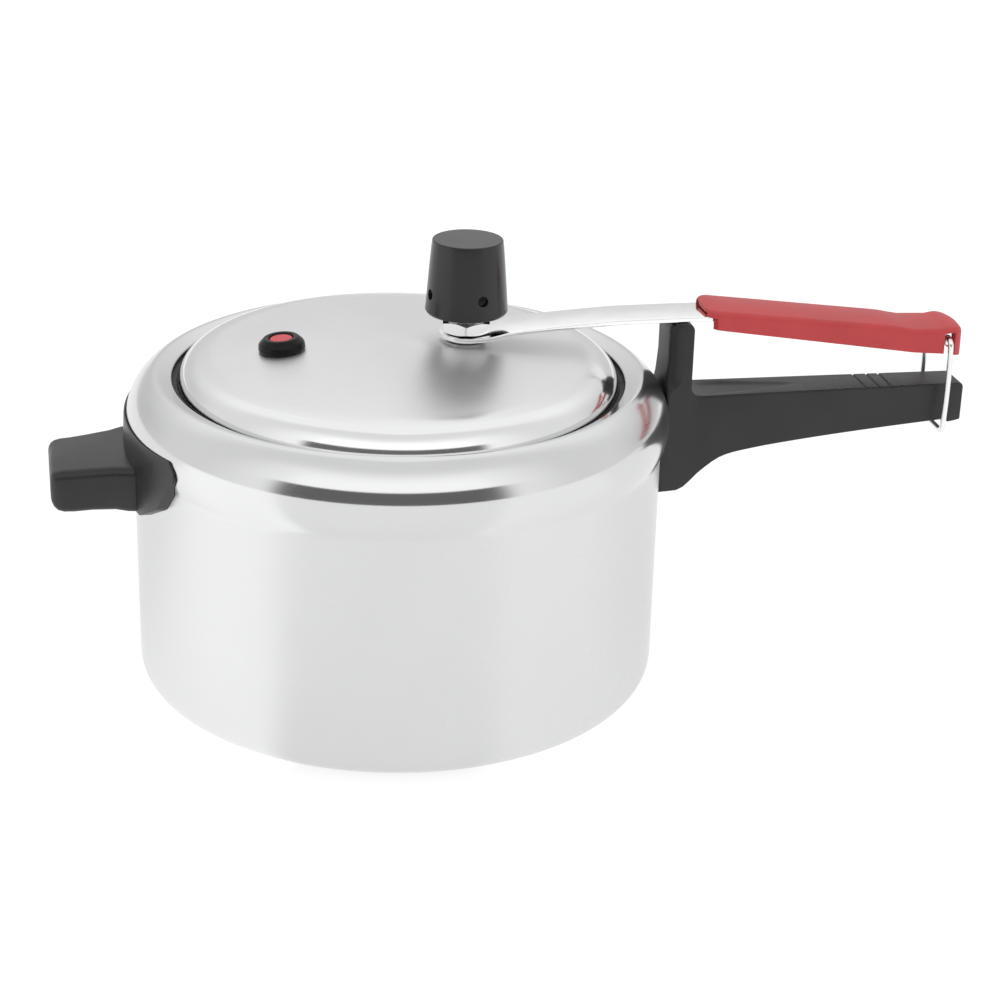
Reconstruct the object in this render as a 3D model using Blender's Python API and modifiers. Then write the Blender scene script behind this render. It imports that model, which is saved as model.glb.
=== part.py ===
"""Stovetop pressure cooker with an inner lid: a drawn pot, a domed lid that seals upward against the
inside of the rim, and a sprung lever that rests on the long handle's post and is held by a wire bail.

Frame: origin at the centre of the flat base, +Z up, +X along the long handle.
"""

from math import acos, atan, ceil, cos, degrees, pi, radians, sin, sqrt

import bmesh
import bpy
from mathutils import Matrix, Vector

MM = 0.001
GAP = 0.3 * MM
RING_STEPS = 48
SMALL_STEPS = 24

# Pot
WALL_R = 108 * MM
WALL_T = 2 * MM
BASE_FILLET = 11 * MM
SHOULDER_Z = 113 * MM
SHOULDER_R = 21.6 * MM
SHOULDER_TURN = 58
BULGE = 2.9 * MM
CREST_R = 4.5 * MM
LAND_SLOPE = 20
RIM_WIDTH = 18.9 * MM
OVAL = 2.5 * MM

# Lid and its gasket
LID_GAP = 2.3 * MM
LID_T = 1.8 * MM
LID_SKIRT = 6.9 * MM
LID_RISE = 9.9 * MM
DOME_RISE = 6.1 * MM
FLANGE = 2.9 * MM
GASKET_LIP = 2.6 * MM
GASKET_WALL = 1.3 * MM

# Vent pipe, lever nut and washers
VENT_X = 27.4 * MM
PIPE_R = 5 * MM
NOZZLE_R = 3.5 * MM
NOZZLE_BORE_R = 1.25 * MM
NOZZLE_H = 19 * MM
PIPE_FLANGE_R = 9 * MM
PIPE_FLANGE_T = 2.2 * MM
SEAL_T = 1.6 * MM
SPACER_R = 8.5 * MM
SPACER_T = 0.8 * MM
NUT_FLATS = 17 * MM
NUT_T = 5 * MM

# Regulator weight
WEIGHT_LIFT = 8.2 * MM
WEIGHT_H = 30.4 * MM
WEIGHT_FOOT_R = 16.9 * MM
WEIGHT_TOP_R = 13.3 * MM
WEIGHT_WALL = 2.4 * MM
CORE_R = 8.8 * MM
STEAM_HOLE_R = 2.2 * MM
STEAM_HOLE_Z = 8.7 * MM
STEAM_HOLE_TURN = -76.5
CLIP_WIRE_R = 0.6 * MM

# Safety valve
SAFETY_X = -47.7 * MM
SAFETY_R = 9.5 * MM
SAFETY_H = 5.6 * MM
SAFETY_STEM_R = 5.5 * MM
BUTTON_R = 4.75 * MM
PIN_R = 2 * MM
PIN_TRAVEL = 3 * MM

# Lever arm
ARM_T = 2 * MM
ARM_HALF = 10 * MM
ARM_END_R = 11 * MM
ARM_RISE = 5.1 * MM
ARM_FALL = 0.12
EYE_R = 2.9 * MM

# Long handle
HANDLE_TOP = 4.7 * MM
HANDLE_LENGTH = 135 * MM
HANDLE_ROOT_HALF = 13 * MM
HANDLE_HALF = 10.8 * MM
HANDLE_END_HALF = 7.6 * MM
HANDLE_ROOT_DEPTH = 41.7 * MM
HANDLE_END_DEPTH = 16 * MM
HANDLE_CORNER = 3.2 * MM
POST_LENGTH = 10 * MM
POST_HALF = 11.5 * MM
CROWN_R = 6 * MM
LIP_DEPTH = 1.0 * MM
LIP_LENGTH = 6.5 * MM

# Grip sleeve and bail
SLEEVE_HALF = ARM_HALF + 3 * MM
SLEEVE_END_HALF = SLEEVE_HALF - 0.4 * MM
SLEEVE_LEAD = 10.2 * MM
SLEEVE_TOP = 3.2 * MM
SLEEVE_OVERHANG = 6.2 * MM
SLEEVE_CORNER = 2.4 * MM
WIRE_R = 1.2 * MM
BAIL_INSET = 10.6 * MM
BAIL_HANG = 1.5 * MM
BAIL_BEND = 1.6 * MM

# Short handle
GRIP_REACH = 34 * MM
GRIP_HALF = 20.5 * MM
GRIP_Z = 84 * MM
GRIP_H = 19.5 * MM
WING_ANGLE = 31.6
WING_T = 3 * MM
GRIP_CORNER = 3.5 * MM

# Brackets, rivets and screws
PLATE_T = 1.8 * MM
PLATE_HALF = 9.5 * MM
PLATE_H = 19 * MM
RIVET_R = 2 * MM
RIVET_HEAD_R = 3.6 * MM
RIVET_HEAD_T = 1.2 * MM
SCREW_R = 2 * MM
SCREW_HEAD_R = 3.7 * MM
SCREW_HEAD_T = 2.6 * MM
SLOT_W = 0.9 * MM
SLOT_DEPTH = 0.8 * MM
RIVET_SPREAD = 7.2 * MM
PLATE_DROP = 13 * MM
SCREW_COVER = 1.5 * MM
LUG_HALF = 7 * MM
LUG_T = 3 * MM

# Derived places
SHOULDER_C = WALL_R + BULGE - SHOULDER_R
OUTER_R = WALL_R + BULGE
CREST_C = SHOULDER_C + (SHOULDER_R - CREST_R) * cos(radians(SHOULDER_TURN))
CREST_Z = SHOULDER_Z + (SHOULDER_R - CREST_R) * sin(radians(SHOULDER_TURN))
MOUTH_R = OUTER_R - RIM_WIDTH
LIP_R = WALL_T / 2
LIP_C = MOUTH_R + LIP_R
LAND_RUN = (CREST_C - (CREST_R - LIP_R) * sin(radians(LAND_SLOPE)) - LIP_C) / cos(radians(LAND_SLOPE))
LIP_Z = CREST_Z + (CREST_R - LIP_R) * cos(radians(LAND_SLOPE)) - LAND_RUN * sin(radians(LAND_SLOPE))
OVAL_SHARE = 1 + OVAL / MOUTH_R

GASKET_TOP = LIP_Z - LIP_R - GAP
LID_WALL_R = MOUTH_R - LID_GAP
FLANGE_TOP = GASKET_TOP - GASKET_LIP
DOME_R = LID_WALL_R - LID_SKIRT
DOME_EDGE_Z = GASKET_TOP + LID_RISE
LID_TOP = DOME_EDGE_Z + DOME_RISE


def dome_z(radius):
    """Height of the dome's outer face at a distance from its centre."""
    return LID_TOP - DOME_RISE * (radius / DOME_R) ** 2


def dome_slope(radius):
    """Angle by which the dome falls away from level at a distance from its centre."""
    return atan(2 * DOME_RISE * radius / DOME_R ** 2)


SPACER_Z = dome_z(VENT_X - SPACER_R) + GAP
ARM_Z = SPACER_Z + SPACER_T + GAP
NUT_Z = ARM_Z + ARM_T + GAP
WEIGHT_Z = ARM_Z + ARM_T + WEIGHT_LIFT
NOZZLE_TOP = NUT_Z + NUT_T + NOZZLE_H
SEAL_Z = dome_z(VENT_X + PIPE_FLANGE_R) - LID_T - SEAL_T - GAP

HANDLE_Z = SHOULDER_Z + HANDLE_TOP
HANDLE_END = WALL_R + HANDLE_LENGTH
POST_START = OUTER_R + 2 * GAP
POST_X = POST_START + POST_LENGTH / 2
POST_TOP = ARM_Z + ARM_RISE - GAP
PIVOT = Vector((POST_X, 0, POST_TOP + GAP / 2))
BAIL_X = HANDLE_END - BAIL_INSET
SLEEVE_START = POST_X + SLEEVE_LEAD
SLEEVE_END = BAIL_X + SLEEVE_OVERHANG


def clear_scene():
    for obj in list(bpy.data.objects):
        bpy.data.objects.remove(obj, do_unlink=True)


def make_collection(name):
    collection = bpy.data.collections.new(name)
    bpy.context.scene.collection.children.link(collection)
    return collection


def material(name, colour, roughness, metallic=0.0):
    mat = bpy.data.materials.new(name)
    mat.use_nodes = True
    shader = mat.node_tree.nodes["Principled BSDF"]
    shader.inputs["Base Color"].default_value = (*colour, 1)
    shader.inputs["Roughness"].default_value = roughness
    shader.inputs["Metallic"].default_value = metallic
    return mat


def add_object(name, mesh, mat, home, origin=None, parent=None):
    """Links a mesh built in world coordinates, moving its origin onto its joint or its own axis."""
    obj = bpy.data.objects.new(name, mesh)
    home.objects.link(obj)
    origin = Vector(origin or (0, 0, 0))
    mesh.transform(Matrix.Translation(-origin))
    obj.location = origin
    if parent:
        obj.parent = parent
        obj.location = origin - parent.location
    if mat:
        mesh.materials.append(mat)
    mesh.shade_smooth()
    mesh.set_sharp_from_angle(angle=radians(30))
    return obj


def add_empty(name, location, home):
    empty = bpy.data.objects.new(name, None)
    empty.location = location
    home.objects.link(empty)
    return empty


def add_modifier(obj, kind, **settings):
    modifier = obj.modifiers.new(kind.title(), kind)
    for key, value in settings.items():
        setattr(modifier, key, value)
    return modifier


def cut(obj, cutter):
    add_modifier(obj, "BOOLEAN", operation="DIFFERENCE", object=cutter)


def join(obj, other):
    add_modifier(obj, "BOOLEAN", operation="UNION", object=other)


def guide(name, mesh, cutters, matrix=None):
    """A hidden solid that another one is cut with or joined to."""
    obj = bpy.data.objects.new(name, mesh)
    cutters.objects.link(obj)
    obj.hide_render = True
    obj.display_type = "WIRE"
    if matrix:
        obj.matrix_world = matrix
    return obj


def arc(centre, radius, start, end, steps):
    """Points (r, z) on an arc, its angles in degrees counted from the outward direction."""
    angles = [radians(start + (end - start) * i / steps) for i in range(steps + 1)]
    return [(centre[0] + radius * cos(a), centre[1] + radius * sin(a)) for a in angles]


def curve_at(points, x):
    """Smooth curve through points sorted by their first value, read at x."""
    x = min(max(x, points[0][0]), points[-1][0])
    i = next(k for k in range(len(points) - 1) if x <= points[k + 1][0])

    def slope(k):
        before = points[max(k - 1, 0)]
        after = points[min(k + 1, len(points) - 1)]
        return (after[1] - before[1]) / (after[0] - before[0])

    (x0, y0), (x1, y1) = points[i], points[i + 1]
    span = x1 - x0
    t = (x - x0) / span
    rise = (2 * t ** 3 - 3 * t ** 2 + 1) * y0 + (3 * t ** 2 - 2 * t ** 3) * y1
    lean = (t ** 3 - 2 * t ** 2 + t) * slope(i) + (t ** 3 - t ** 2) * slope(i + 1)
    return rise + lean * span


def loft_mesh(name, sections, ring=False):
    """A closed skin over sections of equal point count, capped at its ends unless it runs round a ring."""
    bm = bmesh.new()
    rows = [[bm.verts.new(p) for p in section] for section in sections]
    pairs = list(zip(rows, rows[1:]))
    if ring:
        pairs.append((rows[-1], rows[0]))
    else:
        bm.faces.new(rows[0])
        bm.faces.new(rows[-1])
    for low, high in pairs:
        for i in range(len(low)):
            j = (i + 1) % len(low)
            bm.faces.new((low[i], low[j], high[j], high[i]))
    bmesh.ops.recalc_face_normals(bm, faces=bm.faces)
    mesh = bpy.data.meshes.new(name)
    bm.to_mesh(mesh)
    bm.free()
    return mesh


def oval_ring(rx, ry, z):
    angles = [2 * pi * i / RING_STEPS for i in range(RING_STEPS)]
    return [(rx * cos(a), ry * sin(a), z) for a in angles]


def soft_section(x, half, low, high, corner, steps=2):
    """Rounded rectangle across the X axis, with its corners turned in a few steps."""
    corner = min(corner, (high - low) / 2 - 0.05 * MM, half - 0.05 * MM)
    centres = [(half - corner, high - corner, 0), (corner - half, high - corner, 90),
               (corner - half, low + corner, 180), (half - corner, low + corner, 270)]
    points = []
    for y, z, turn in centres:
        points += [(x, *p) for p in arc((y, z), corner, turn, turn + 90, steps)]
    return points


def flat_section(x, half, low, high):
    return [(x, half, high), (x, -half, high), (x, -half, low), (x, half, low)]


def box_mesh(name, low, high):
    bm = bmesh.new()
    bmesh.ops.create_cube(bm, size=1)
    low, high = Vector(low), Vector(high)
    for vert in bm.verts:
        vert.co = Vector(map(lambda c, a, b: a + (c + 0.5) * (b - a), vert.co, low, high))
    mesh = bpy.data.meshes.new(name)
    bm.to_mesh(mesh)
    bm.free()
    return mesh


def cylinder_mesh(name, radius, start, end, steps=SMALL_STEPS, turn=0.0):
    """Cylinder whose axis runs between two points."""
    start, end = Vector(start), Vector(end)
    along = end - start
    bm = bmesh.new()
    bmesh.ops.create_cone(bm, cap_ends=True, segments=steps, radius1=radius, radius2=radius,
                          depth=along.length, matrix=Matrix.Rotation(turn, 4, "Z"))
    mesh = bpy.data.meshes.new(name)
    bm.to_mesh(mesh)
    bm.free()
    aim = Vector((0, 0, 1)).rotation_difference(along).to_matrix().to_4x4()
    mesh.transform(Matrix.Translation((start + end) / 2) @ aim)
    return mesh


def turned(name, profile, mat, home, origin, parent=None, closed=False, steps=SMALL_STEPS, aim=None):
    """Solid of revolution: a profile (r, z) that runs down its outer side, turned about local Z."""
    mesh = bpy.data.meshes.new(name)
    count = len(profile)
    edges = [(i, i + 1) for i in range(count - 1)]
    if closed:
        edges.append((count - 1, 0))
    mesh.from_pydata([(r, 0, z) for r, z in profile], edges, [])
    mesh.materials.append(mat)
    obj = bpy.data.objects.new(name, mesh)
    home.objects.link(obj)
    obj.location = Vector(origin) - (parent.location if parent else Vector())
    obj.parent = parent
    if aim:
        obj.rotation_euler = aim
    add_modifier(obj, "SCREW", angle=2 * pi, steps=steps, render_steps=steps, axis="Z",
                 use_merge_vertices=True, merge_threshold=0.00001, use_smooth_shade=True)
    return obj


def pot_side(offset):
    """The pot's side from the base fillet to the crest of the shoulder, moved outward by an offset."""
    base = arc((WALL_R - BASE_FILLET, BASE_FILLET), BASE_FILLET + offset, -90, 0, 4)
    foot = degrees(acos((WALL_R + offset - SHOULDER_C) / (SHOULDER_R + offset)))
    shoulder = arc((SHOULDER_C, SHOULDER_Z), SHOULDER_R + offset, -foot, SHOULDER_TURN, 6)
    crest = arc((CREST_C, CREST_Z), CREST_R + offset, SHOULDER_TURN, 90 + LAND_SLOPE, 2)
    return base + shoulder + crest[1:]


def pot_ring(r, z):
    """A ring of the pot, round up to the crest and drawn in to an oval mouth, wider across the handles."""
    if z < SHOULDER_Z or r > CREST_C:
        return oval_ring(r, r, z)
    return oval_ring(r, r + OVAL * (CREST_C - r) / (CREST_C - MOUTH_R), z)


def make_pot(home, mat):
    """Drawn pot: flat base, straight wall, bulged shoulder and a land that runs in to the oval mouth."""
    lip = arc((LIP_C, LIP_Z), LIP_R, 90 + LAND_SLOPE, 270 + LAND_SLOPE, 3)
    profile = pot_side(0) + lip + list(reversed(pot_side(-WALL_T)))
    return add_object("pot_body", loft_mesh("pot_body", [pot_ring(r, z) for r, z in profile]), mat, home)


def make_lid(home, cutters, pivot, metal, rubber):
    """Domed lid shell with a steep skirt and a flange, and the gasket that wraps the flange."""
    stations = [12 * MM, 30 * MM, 48 * MM, 62 * MM, 74 * MM]
    dome = [(r, dome_z(r)) for r in stations if r < DOME_R - 4 * MM] + [(DOME_R, DOME_EDGE_Z)]
    skirt = [(LID_WALL_R - 0.7 * MM, GASKET_TOP + 1.2 * MM), (LID_WALL_R, GASKET_TOP - 0.4 * MM),
             (LID_WALL_R, FLANGE_TOP)]
    edge_r = LID_WALL_R + FLANGE
    flange = [(edge_r, FLANGE_TOP), (edge_r, FLANGE_TOP - LID_T)]
    inner = [(LID_WALL_R - LID_T, FLANGE_TOP - LID_T), (LID_WALL_R - LID_T, GASKET_TOP - 0.6 * MM)]
    inner.append((LID_WALL_R - LID_T - 0.9 * MM, GASKET_TOP + 0.8 * MM))
    inner += [(DOME_R - 0.9 * MM, DOME_EDGE_Z - LID_T)]
    inner += [(r, z - LID_T) for r, z in reversed(dome[:-1])]
    rings = [oval_ring(r, r * OVAL_SHARE, z) for r, z in dome + skirt + flange + inner]
    lid = add_object("lid_shell", loft_mesh("lid_shell", rings), metal, home, pivot.location, pivot)
    vent = cylinder_mesh("vent_hole", PIPE_R + GAP, (VENT_X, 0, LID_TOP - 15 * MM), (VENT_X, 0, LID_TOP + 9 * MM))
    cut(lid, guide("vent_hole", vent, cutters))
    tilt = Matrix.Translation((SAFETY_X, 0, dome_z(SAFETY_X))) @ safety_tilt()
    stem = cylinder_mesh("safety_hole", SAFETY_STEM_R + GAP, (0, 0, -9 * MM), (0, 0, 9 * MM))
    cut(lid, guide("safety_hole", stem, cutters, matrix=tilt))

    slot_low = FLANGE_TOP - LID_T - GAP
    slot_r = edge_r + GAP
    outer_r = slot_r + GASKET_WALL
    low = slot_low - 2 * MM
    section = [(LID_WALL_R + GAP, GASKET_TOP), (outer_r - 1 * MM, GASKET_TOP), (outer_r, GASKET_TOP - 1 * MM),
               (outer_r, low + 0.6 * MM), (outer_r - 0.6 * MM, low), (LID_WALL_R, low), (LID_WALL_R, slot_low),
               (slot_r, slot_low), (slot_r, FLANGE_TOP + GAP), (LID_WALL_R + GAP, FLANGE_TOP + GAP)]
    rings = [oval_ring(r, r * OVAL_SHARE, z) for r, z in section]
    add_object("lid_gasket", loft_mesh("lid_gasket", rings, ring=True), rubber, home, pivot.location, pivot)


def safety_tilt():
    """Turn that lays the safety valve square on the sloping dome."""
    return Matrix.Rotation(-dome_slope(abs(SAFETY_X)), 4, "Y")


def make_vent(home, cutters, pivot, metal, brass, rubber):
    """Bored vent pipe with a flange inside the lid, its seal, the spacer under the arm and the hex nut."""
    axis = Vector((VENT_X, 0, 0))
    shank_top = NUT_Z + NUT_T + 0.6 * MM
    flange_top = SEAL_Z - GAP
    pipe = [(NOZZLE_R - 1 * MM, NOZZLE_TOP), (NOZZLE_R, NOZZLE_TOP - 1 * MM), (NOZZLE_R, shank_top + 1 * MM),
            (PIPE_R, shank_top), (PIPE_R, flange_top), (PIPE_FLANGE_R, flange_top),
            (PIPE_FLANGE_R, flange_top - PIPE_FLANGE_T), (NOZZLE_BORE_R, flange_top - PIPE_FLANGE_T),
            (NOZZLE_BORE_R, NOZZLE_TOP)]
    turned("vent_pipe", pipe, brass, home, axis, pivot, closed=True)
    washers = [("vent_seal", PIPE_FLANGE_R, SEAL_Z, SEAL_T, rubber), ("arm_spacer", SPACER_R, SPACER_Z, SPACER_T, metal)]
    for name, radius, low, thick, mat in washers:
        inner = PIPE_R + GAP
        ring = [(radius, low + thick), (radius, low), (inner, low), (inner, low + thick)]
        turned(name, ring, mat, home, axis, pivot, closed=True)
    corner_r = NUT_FLATS / sqrt(3)
    nut_mesh = cylinder_mesh("lever_nut", corner_r, (VENT_X, 0, NUT_Z), (VENT_X, 0, NUT_Z + NUT_T), steps=6)
    nut = add_object("lever_nut", nut_mesh, metal, home, (VENT_X, 0, NUT_Z), pivot)
    hole = cylinder_mesh("nut_hole", PIPE_R + GAP, (VENT_X, 0, NUT_Z - MM), (VENT_X, 0, NUT_Z + NUT_T + MM))
    cut(nut, guide("nut_hole", hole, cutters))


def make_weight(home, cutters, pivot, plastic, metal):
    """Tapered regulator weight: a cap with four steam holes, the metal core on the nozzle, and its clip."""
    axis = Vector((VENT_X, 0, 0))
    top = WEIGHT_Z + WEIGHT_H
    inner_r = WEIGHT_FOOT_R - WEIGHT_WALL
    hall_top = WEIGHT_Z + STEAM_HOLE_Z + STEAM_HOLE_R + 1 * MM
    core_top = top - 3 * MM
    edge = 1.2 * MM
    cap = [(0, top), (WEIGHT_TOP_R - edge, top), (WEIGHT_TOP_R, top - edge), (WEIGHT_FOOT_R, WEIGHT_Z + edge),
           (WEIGHT_FOOT_R - edge, WEIGHT_Z), (inner_r, WEIGHT_Z), (inner_r - 1 * MM, hall_top),
           (CORE_R + GAP, hall_top), (CORE_R + GAP, core_top + GAP), (0, core_top + GAP)]
    body = turned("weight_cap", cap, plastic, home, axis, pivot)
    for k in range(4):
        turn = radians(STEAM_HOLE_TURN + 90 * k)
        out = Vector((cos(turn), sin(turn), 0))
        centre = axis + Vector((0, 0, WEIGHT_Z + STEAM_HOLE_Z))
        hole = cylinder_mesh("steam_hole", STEAM_HOLE_R, centre + out * (CORE_R + MM), centre + out * 20 * MM, 16)
        cut(body, guide(f"steam_hole_{k + 1}", hole, cutters))
    clip_z = NUT_Z + NUT_T + 4 * MM
    core_low = clip_z + CLIP_WIRE_R + GAP
    bore = NOZZLE_R + GAP
    core = [(0, core_top), (CORE_R, core_top), (CORE_R, core_low), (bore, core_low),
            (bore, NOZZLE_TOP + GAP), (0, NOZZLE_TOP + GAP)]
    turned("weight_core", core, metal, home, axis, pivot)
    clip = arc((bore + CLIP_WIRE_R, clip_z), CLIP_WIRE_R, 90, -270, 6)[:-1]
    turned("weight_clip", clip, metal, home, axis, pivot, closed=True, steps=18)


def make_safety_valve(home, pivot, rubber, metal, red):
    """Safety valve standing square on the dome: rubber body, red pin through it and a nut inside the lid."""
    seat = Vector((SAFETY_X, 0, dome_z(SAFETY_X)))
    aim = (0, -dome_slope(abs(SAFETY_X)), 0)
    under = -LID_T - GAP
    nut_t = 2.6 * MM
    low = under - nut_t - 0.6 * MM
    bore = PIN_R + GAP
    recess = SAFETY_H - 1.8 * MM
    body = [(BUTTON_R + GAP, SAFETY_H), (SAFETY_R - 2.6 * MM, SAFETY_H), (SAFETY_R - 1 * MM, SAFETY_H - 1.2 * MM),
            (SAFETY_R, SAFETY_H - 3.6 * MM), (SAFETY_R, GAP), (SAFETY_STEM_R, GAP), (SAFETY_STEM_R, low),
            (bore, low), (bore, recess), (BUTTON_R + GAP, recess)]
    turned("safety_valve_body", body, rubber, home, seat, pivot, closed=True, aim=aim)
    crown = SAFETY_H + 0.4 * MM
    catch = low - PIN_TRAVEL - 2 * GAP
    pin = [(0, crown), (BUTTON_R - 1.2 * MM, crown), (BUTTON_R, crown - 0.8 * MM), (BUTTON_R, recess + GAP),
           (PIN_R, recess + GAP), (PIN_R, catch), (PIN_R + 1 * MM, catch), (PIN_R + 1 * MM, catch - 1.2 * MM),
           (0, catch - 1.2 * MM)]
    turned("safety_pin", pin, red, home, seat, pivot, aim=aim)
    ring_r = SAFETY_STEM_R + 3 * MM
    inner = SAFETY_STEM_R + GAP
    ring = [(ring_r, under), (ring_r, under - nut_t), (inner, under - nut_t), (inner, under)]
    turned("safety_valve_nut", ring, metal, home, seat, pivot, closed=True, steps=24, aim=aim)


def arm_low(x):
    """Underside of the lever arm: flat on the lid, arched to the post, then falling to the eye."""
    rise = ARM_RISE
    span = POST_X - VENT_X
    points = [(VENT_X - ARM_END_R, 0), (VENT_X + 0.08 * span, 0), (VENT_X + 0.19 * span, 0.33 * rise),
              (VENT_X + 0.34 * span, 0.58 * rise), (VENT_X + 0.52 * span, 0.8 * rise),
              (VENT_X + 0.7 * span, 0.97 * rise), (VENT_X + 0.88 * span, rise), (POST_X, rise)]
    fall_start = POST_X + 13 * MM
    points.append((fall_start, 0.98 * rise))
    if x <= fall_start:
        return ARM_Z + curve_at(points, x)
    return ARM_Z + 0.98 * rise - (x - fall_start) * ARM_FALL


def eye_centre():
    return Vector((BAIL_X, 0, arm_low(BAIL_X) + ARM_T / 2))


def arm_sections(slack, start, end):
    """Sections of the arm's strip, grown by a clearance when they cut a pocket for it."""
    stations = [VENT_X - ARM_END_R * cos(radians(a)) for a in (12, 35, 60, 90)]
    halves = [ARM_END_R * sin(radians(a)) for a in (12, 35, 60, 90)]
    reach = end - VENT_X
    count = ceil(reach / (8 * MM))
    for i in range(1, count + 1):
        x = VENT_X + reach * i / count
        stations.append(x)
        halves.append(ARM_HALF + (ARM_END_R - ARM_HALF) * max(0, 1 - (x - VENT_X) / (14 * MM)))
    return [flat_section(x, half + slack, arm_low(x) - slack, arm_low(x) + ARM_T + slack)
            for x, half in zip(stations, halves) if x >= start]


def make_arm(home, cutters, pivot, metal):
    """Flat steel lever arm, clamped on the vent pipe and rolled into an eye for the bail at its far end."""
    arm_mesh = loft_mesh("lever_arm", arm_sections(0, 0, BAIL_X - 1.2 * MM))
    arm = add_object("lever_arm", arm_mesh, metal, home, pivot.location, pivot)
    eye = eye_centre()
    across = Vector((0, ARM_HALF, 0))
    roll = cylinder_mesh("eye_roll", EYE_R, eye - across, eye + across)
    join(arm, guide("eye_roll", roll, cutters))
    wire = cylinder_mesh("eye_bore", WIRE_R + GAP, eye - 2 * across, eye + 2 * across)
    cut(arm, guide("eye_bore", wire, cutters))
    hole = cylinder_mesh("arm_hole", PIPE_R + GAP, (VENT_X, 0, ARM_Z - 5 * MM), (VENT_X, 0, ARM_Z + 7 * MM))
    cut(arm, guide("arm_hole", hole, cutters))
    x, z = sleeve_screw_place()
    hole = cylinder_mesh("arm_screw_hole", SCREW_R + GAP, (x, 0, z - 9 * MM), (x, 0, z + 9 * MM), 16)
    cut(arm, guide("arm_screw_hole", hole, cutters))


def sleeve_top(x):
    """Height of the sleeve's side crease: a straight fall with a dip and a rise near the bail."""
    arm_top = arm_low(x) + ARM_T
    swell = 0.9 * MM * sin(pi * min(max((x - BAIL_X + 12 * MM) / (16 * MM), 0), 1))
    dip = 0.8 * MM * sin(pi * min(max((x - BAIL_X + 32 * MM) / (22 * MM), 0), 1))
    tail = max(0, x - BAIL_X - 3 * MM) * 0.35
    return arm_top + SLEEVE_TOP + swell - dip - tail


def sleeve_low(x):
    """Underside of the sleeve, which deepens toward the bail."""
    run = x - SLEEVE_START
    deep = 2.6 * MM + 0.034 * run
    lead = max(0, 1 - run / (5 * MM)) * (deep + 0.9 * MM)
    return arm_low(x) - deep + lead


def sleeve_screw_place():
    x = SLEEVE_START + 0.65 * (BAIL_X - SLEEVE_START)
    return x, arm_low(x)


def make_sleeve(home, cutters, pivot, red, metal):
    """Plastic grip pushed over the arm, with a cross channel for the bail, and the screw that holds it."""
    length = SLEEVE_END - SLEEVE_START
    shares = [0, 0.008, 0.03, 0.06, 0.12, 0.3, 0.5, 0.68, 0.76, 0.82, 0.88, 0.92, 0.95, 0.98, 1]
    sections = []
    for share in shares:
        x = SLEEVE_START + share * length
        nose = sqrt(max(0.1, min(1, (x - SLEEVE_START + 1 * MM) / (7 * MM))))
        half = SLEEVE_HALF + (SLEEVE_END_HALF - SLEEVE_HALF) * min(1, share / 0.8)
        front = 1.2 * MM * (1 - nose)
        sections.append(soft_section(x, half * (0.72 + 0.28 * nose), sleeve_low(x),
                                     sleeve_top(x) - front, SLEEVE_CORNER))
    sleeve = add_object("grip_sleeve", loft_mesh("grip_sleeve", sections), red, home, pivot.location, pivot)
    pocket = loft_mesh("arm_pocket", arm_sections(GAP, SLEEVE_START - 20 * MM, BAIL_X - 1 * MM))
    cut(sleeve, guide("arm_pocket", pocket, cutters))
    eye = eye_centre()
    across = Vector((0, ARM_HALF + GAP, 0))
    room = cylinder_mesh("eye_pocket", EYE_R + GAP, eye - across, eye + across)
    cut(sleeve, guide("eye_pocket", room, cutters))
    channel = cylinder_mesh("bail_channel", WIRE_R + GAP, eye - 2 * across, eye + 2 * across)
    cut(sleeve, guide("bail_channel", channel, cutters))

    x, z = sleeve_screw_place()
    low = sleeve_low(x)
    well = cylinder_mesh("sleeve_screw_well", SCREW_HEAD_R + GAP, (x, 0, low - MM), (x, 0, low + 2 * MM))
    cut(sleeve, guide("sleeve_screw_well", well, cutters))
    tip = z + ARM_T + 2 * MM
    shaft = cylinder_mesh("sleeve_screw_hole", SCREW_R + GAP, (x, 0, low), (x, 0, tip + GAP), 16)
    cut(sleeve, guide("sleeve_screw_hole", shaft, cutters))
    head_top = low + 2 * MM - GAP
    screw("sleeve_screw", Vector((x, 0, head_top)), (0, 0, 0), tip - head_top, 1.6 * MM, home, cutters, metal, pivot)


def screw(name, seat, aim, length, head_t, home, cutters, metal, parent=None):
    """Slotted screw: its head lies below the seat and its shank runs up local Z."""
    profile = [(0, length), (SCREW_R - 0.5 * MM, length), (SCREW_R, length - 0.5 * MM), (SCREW_R, 0),
               (SCREW_HEAD_R, 0), (SCREW_HEAD_R, 0.5 * MM - head_t), (SCREW_HEAD_R - 0.5 * MM, -head_t), (0, -head_t)]
    obj = turned(name, profile, metal, home, seat, parent, steps=16, aim=aim)
    slot = box_mesh(name + "_slot", (-SLOT_W / 2, -5 * MM, -head_t - MM), (SLOT_W / 2, 5 * MM, -head_t + SLOT_DEPTH))
    tool = guide(name + "_slot", slot, cutters)
    tool.location = seat
    tool.rotation_euler = aim
    cut(obj, tool)
    return obj


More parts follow.
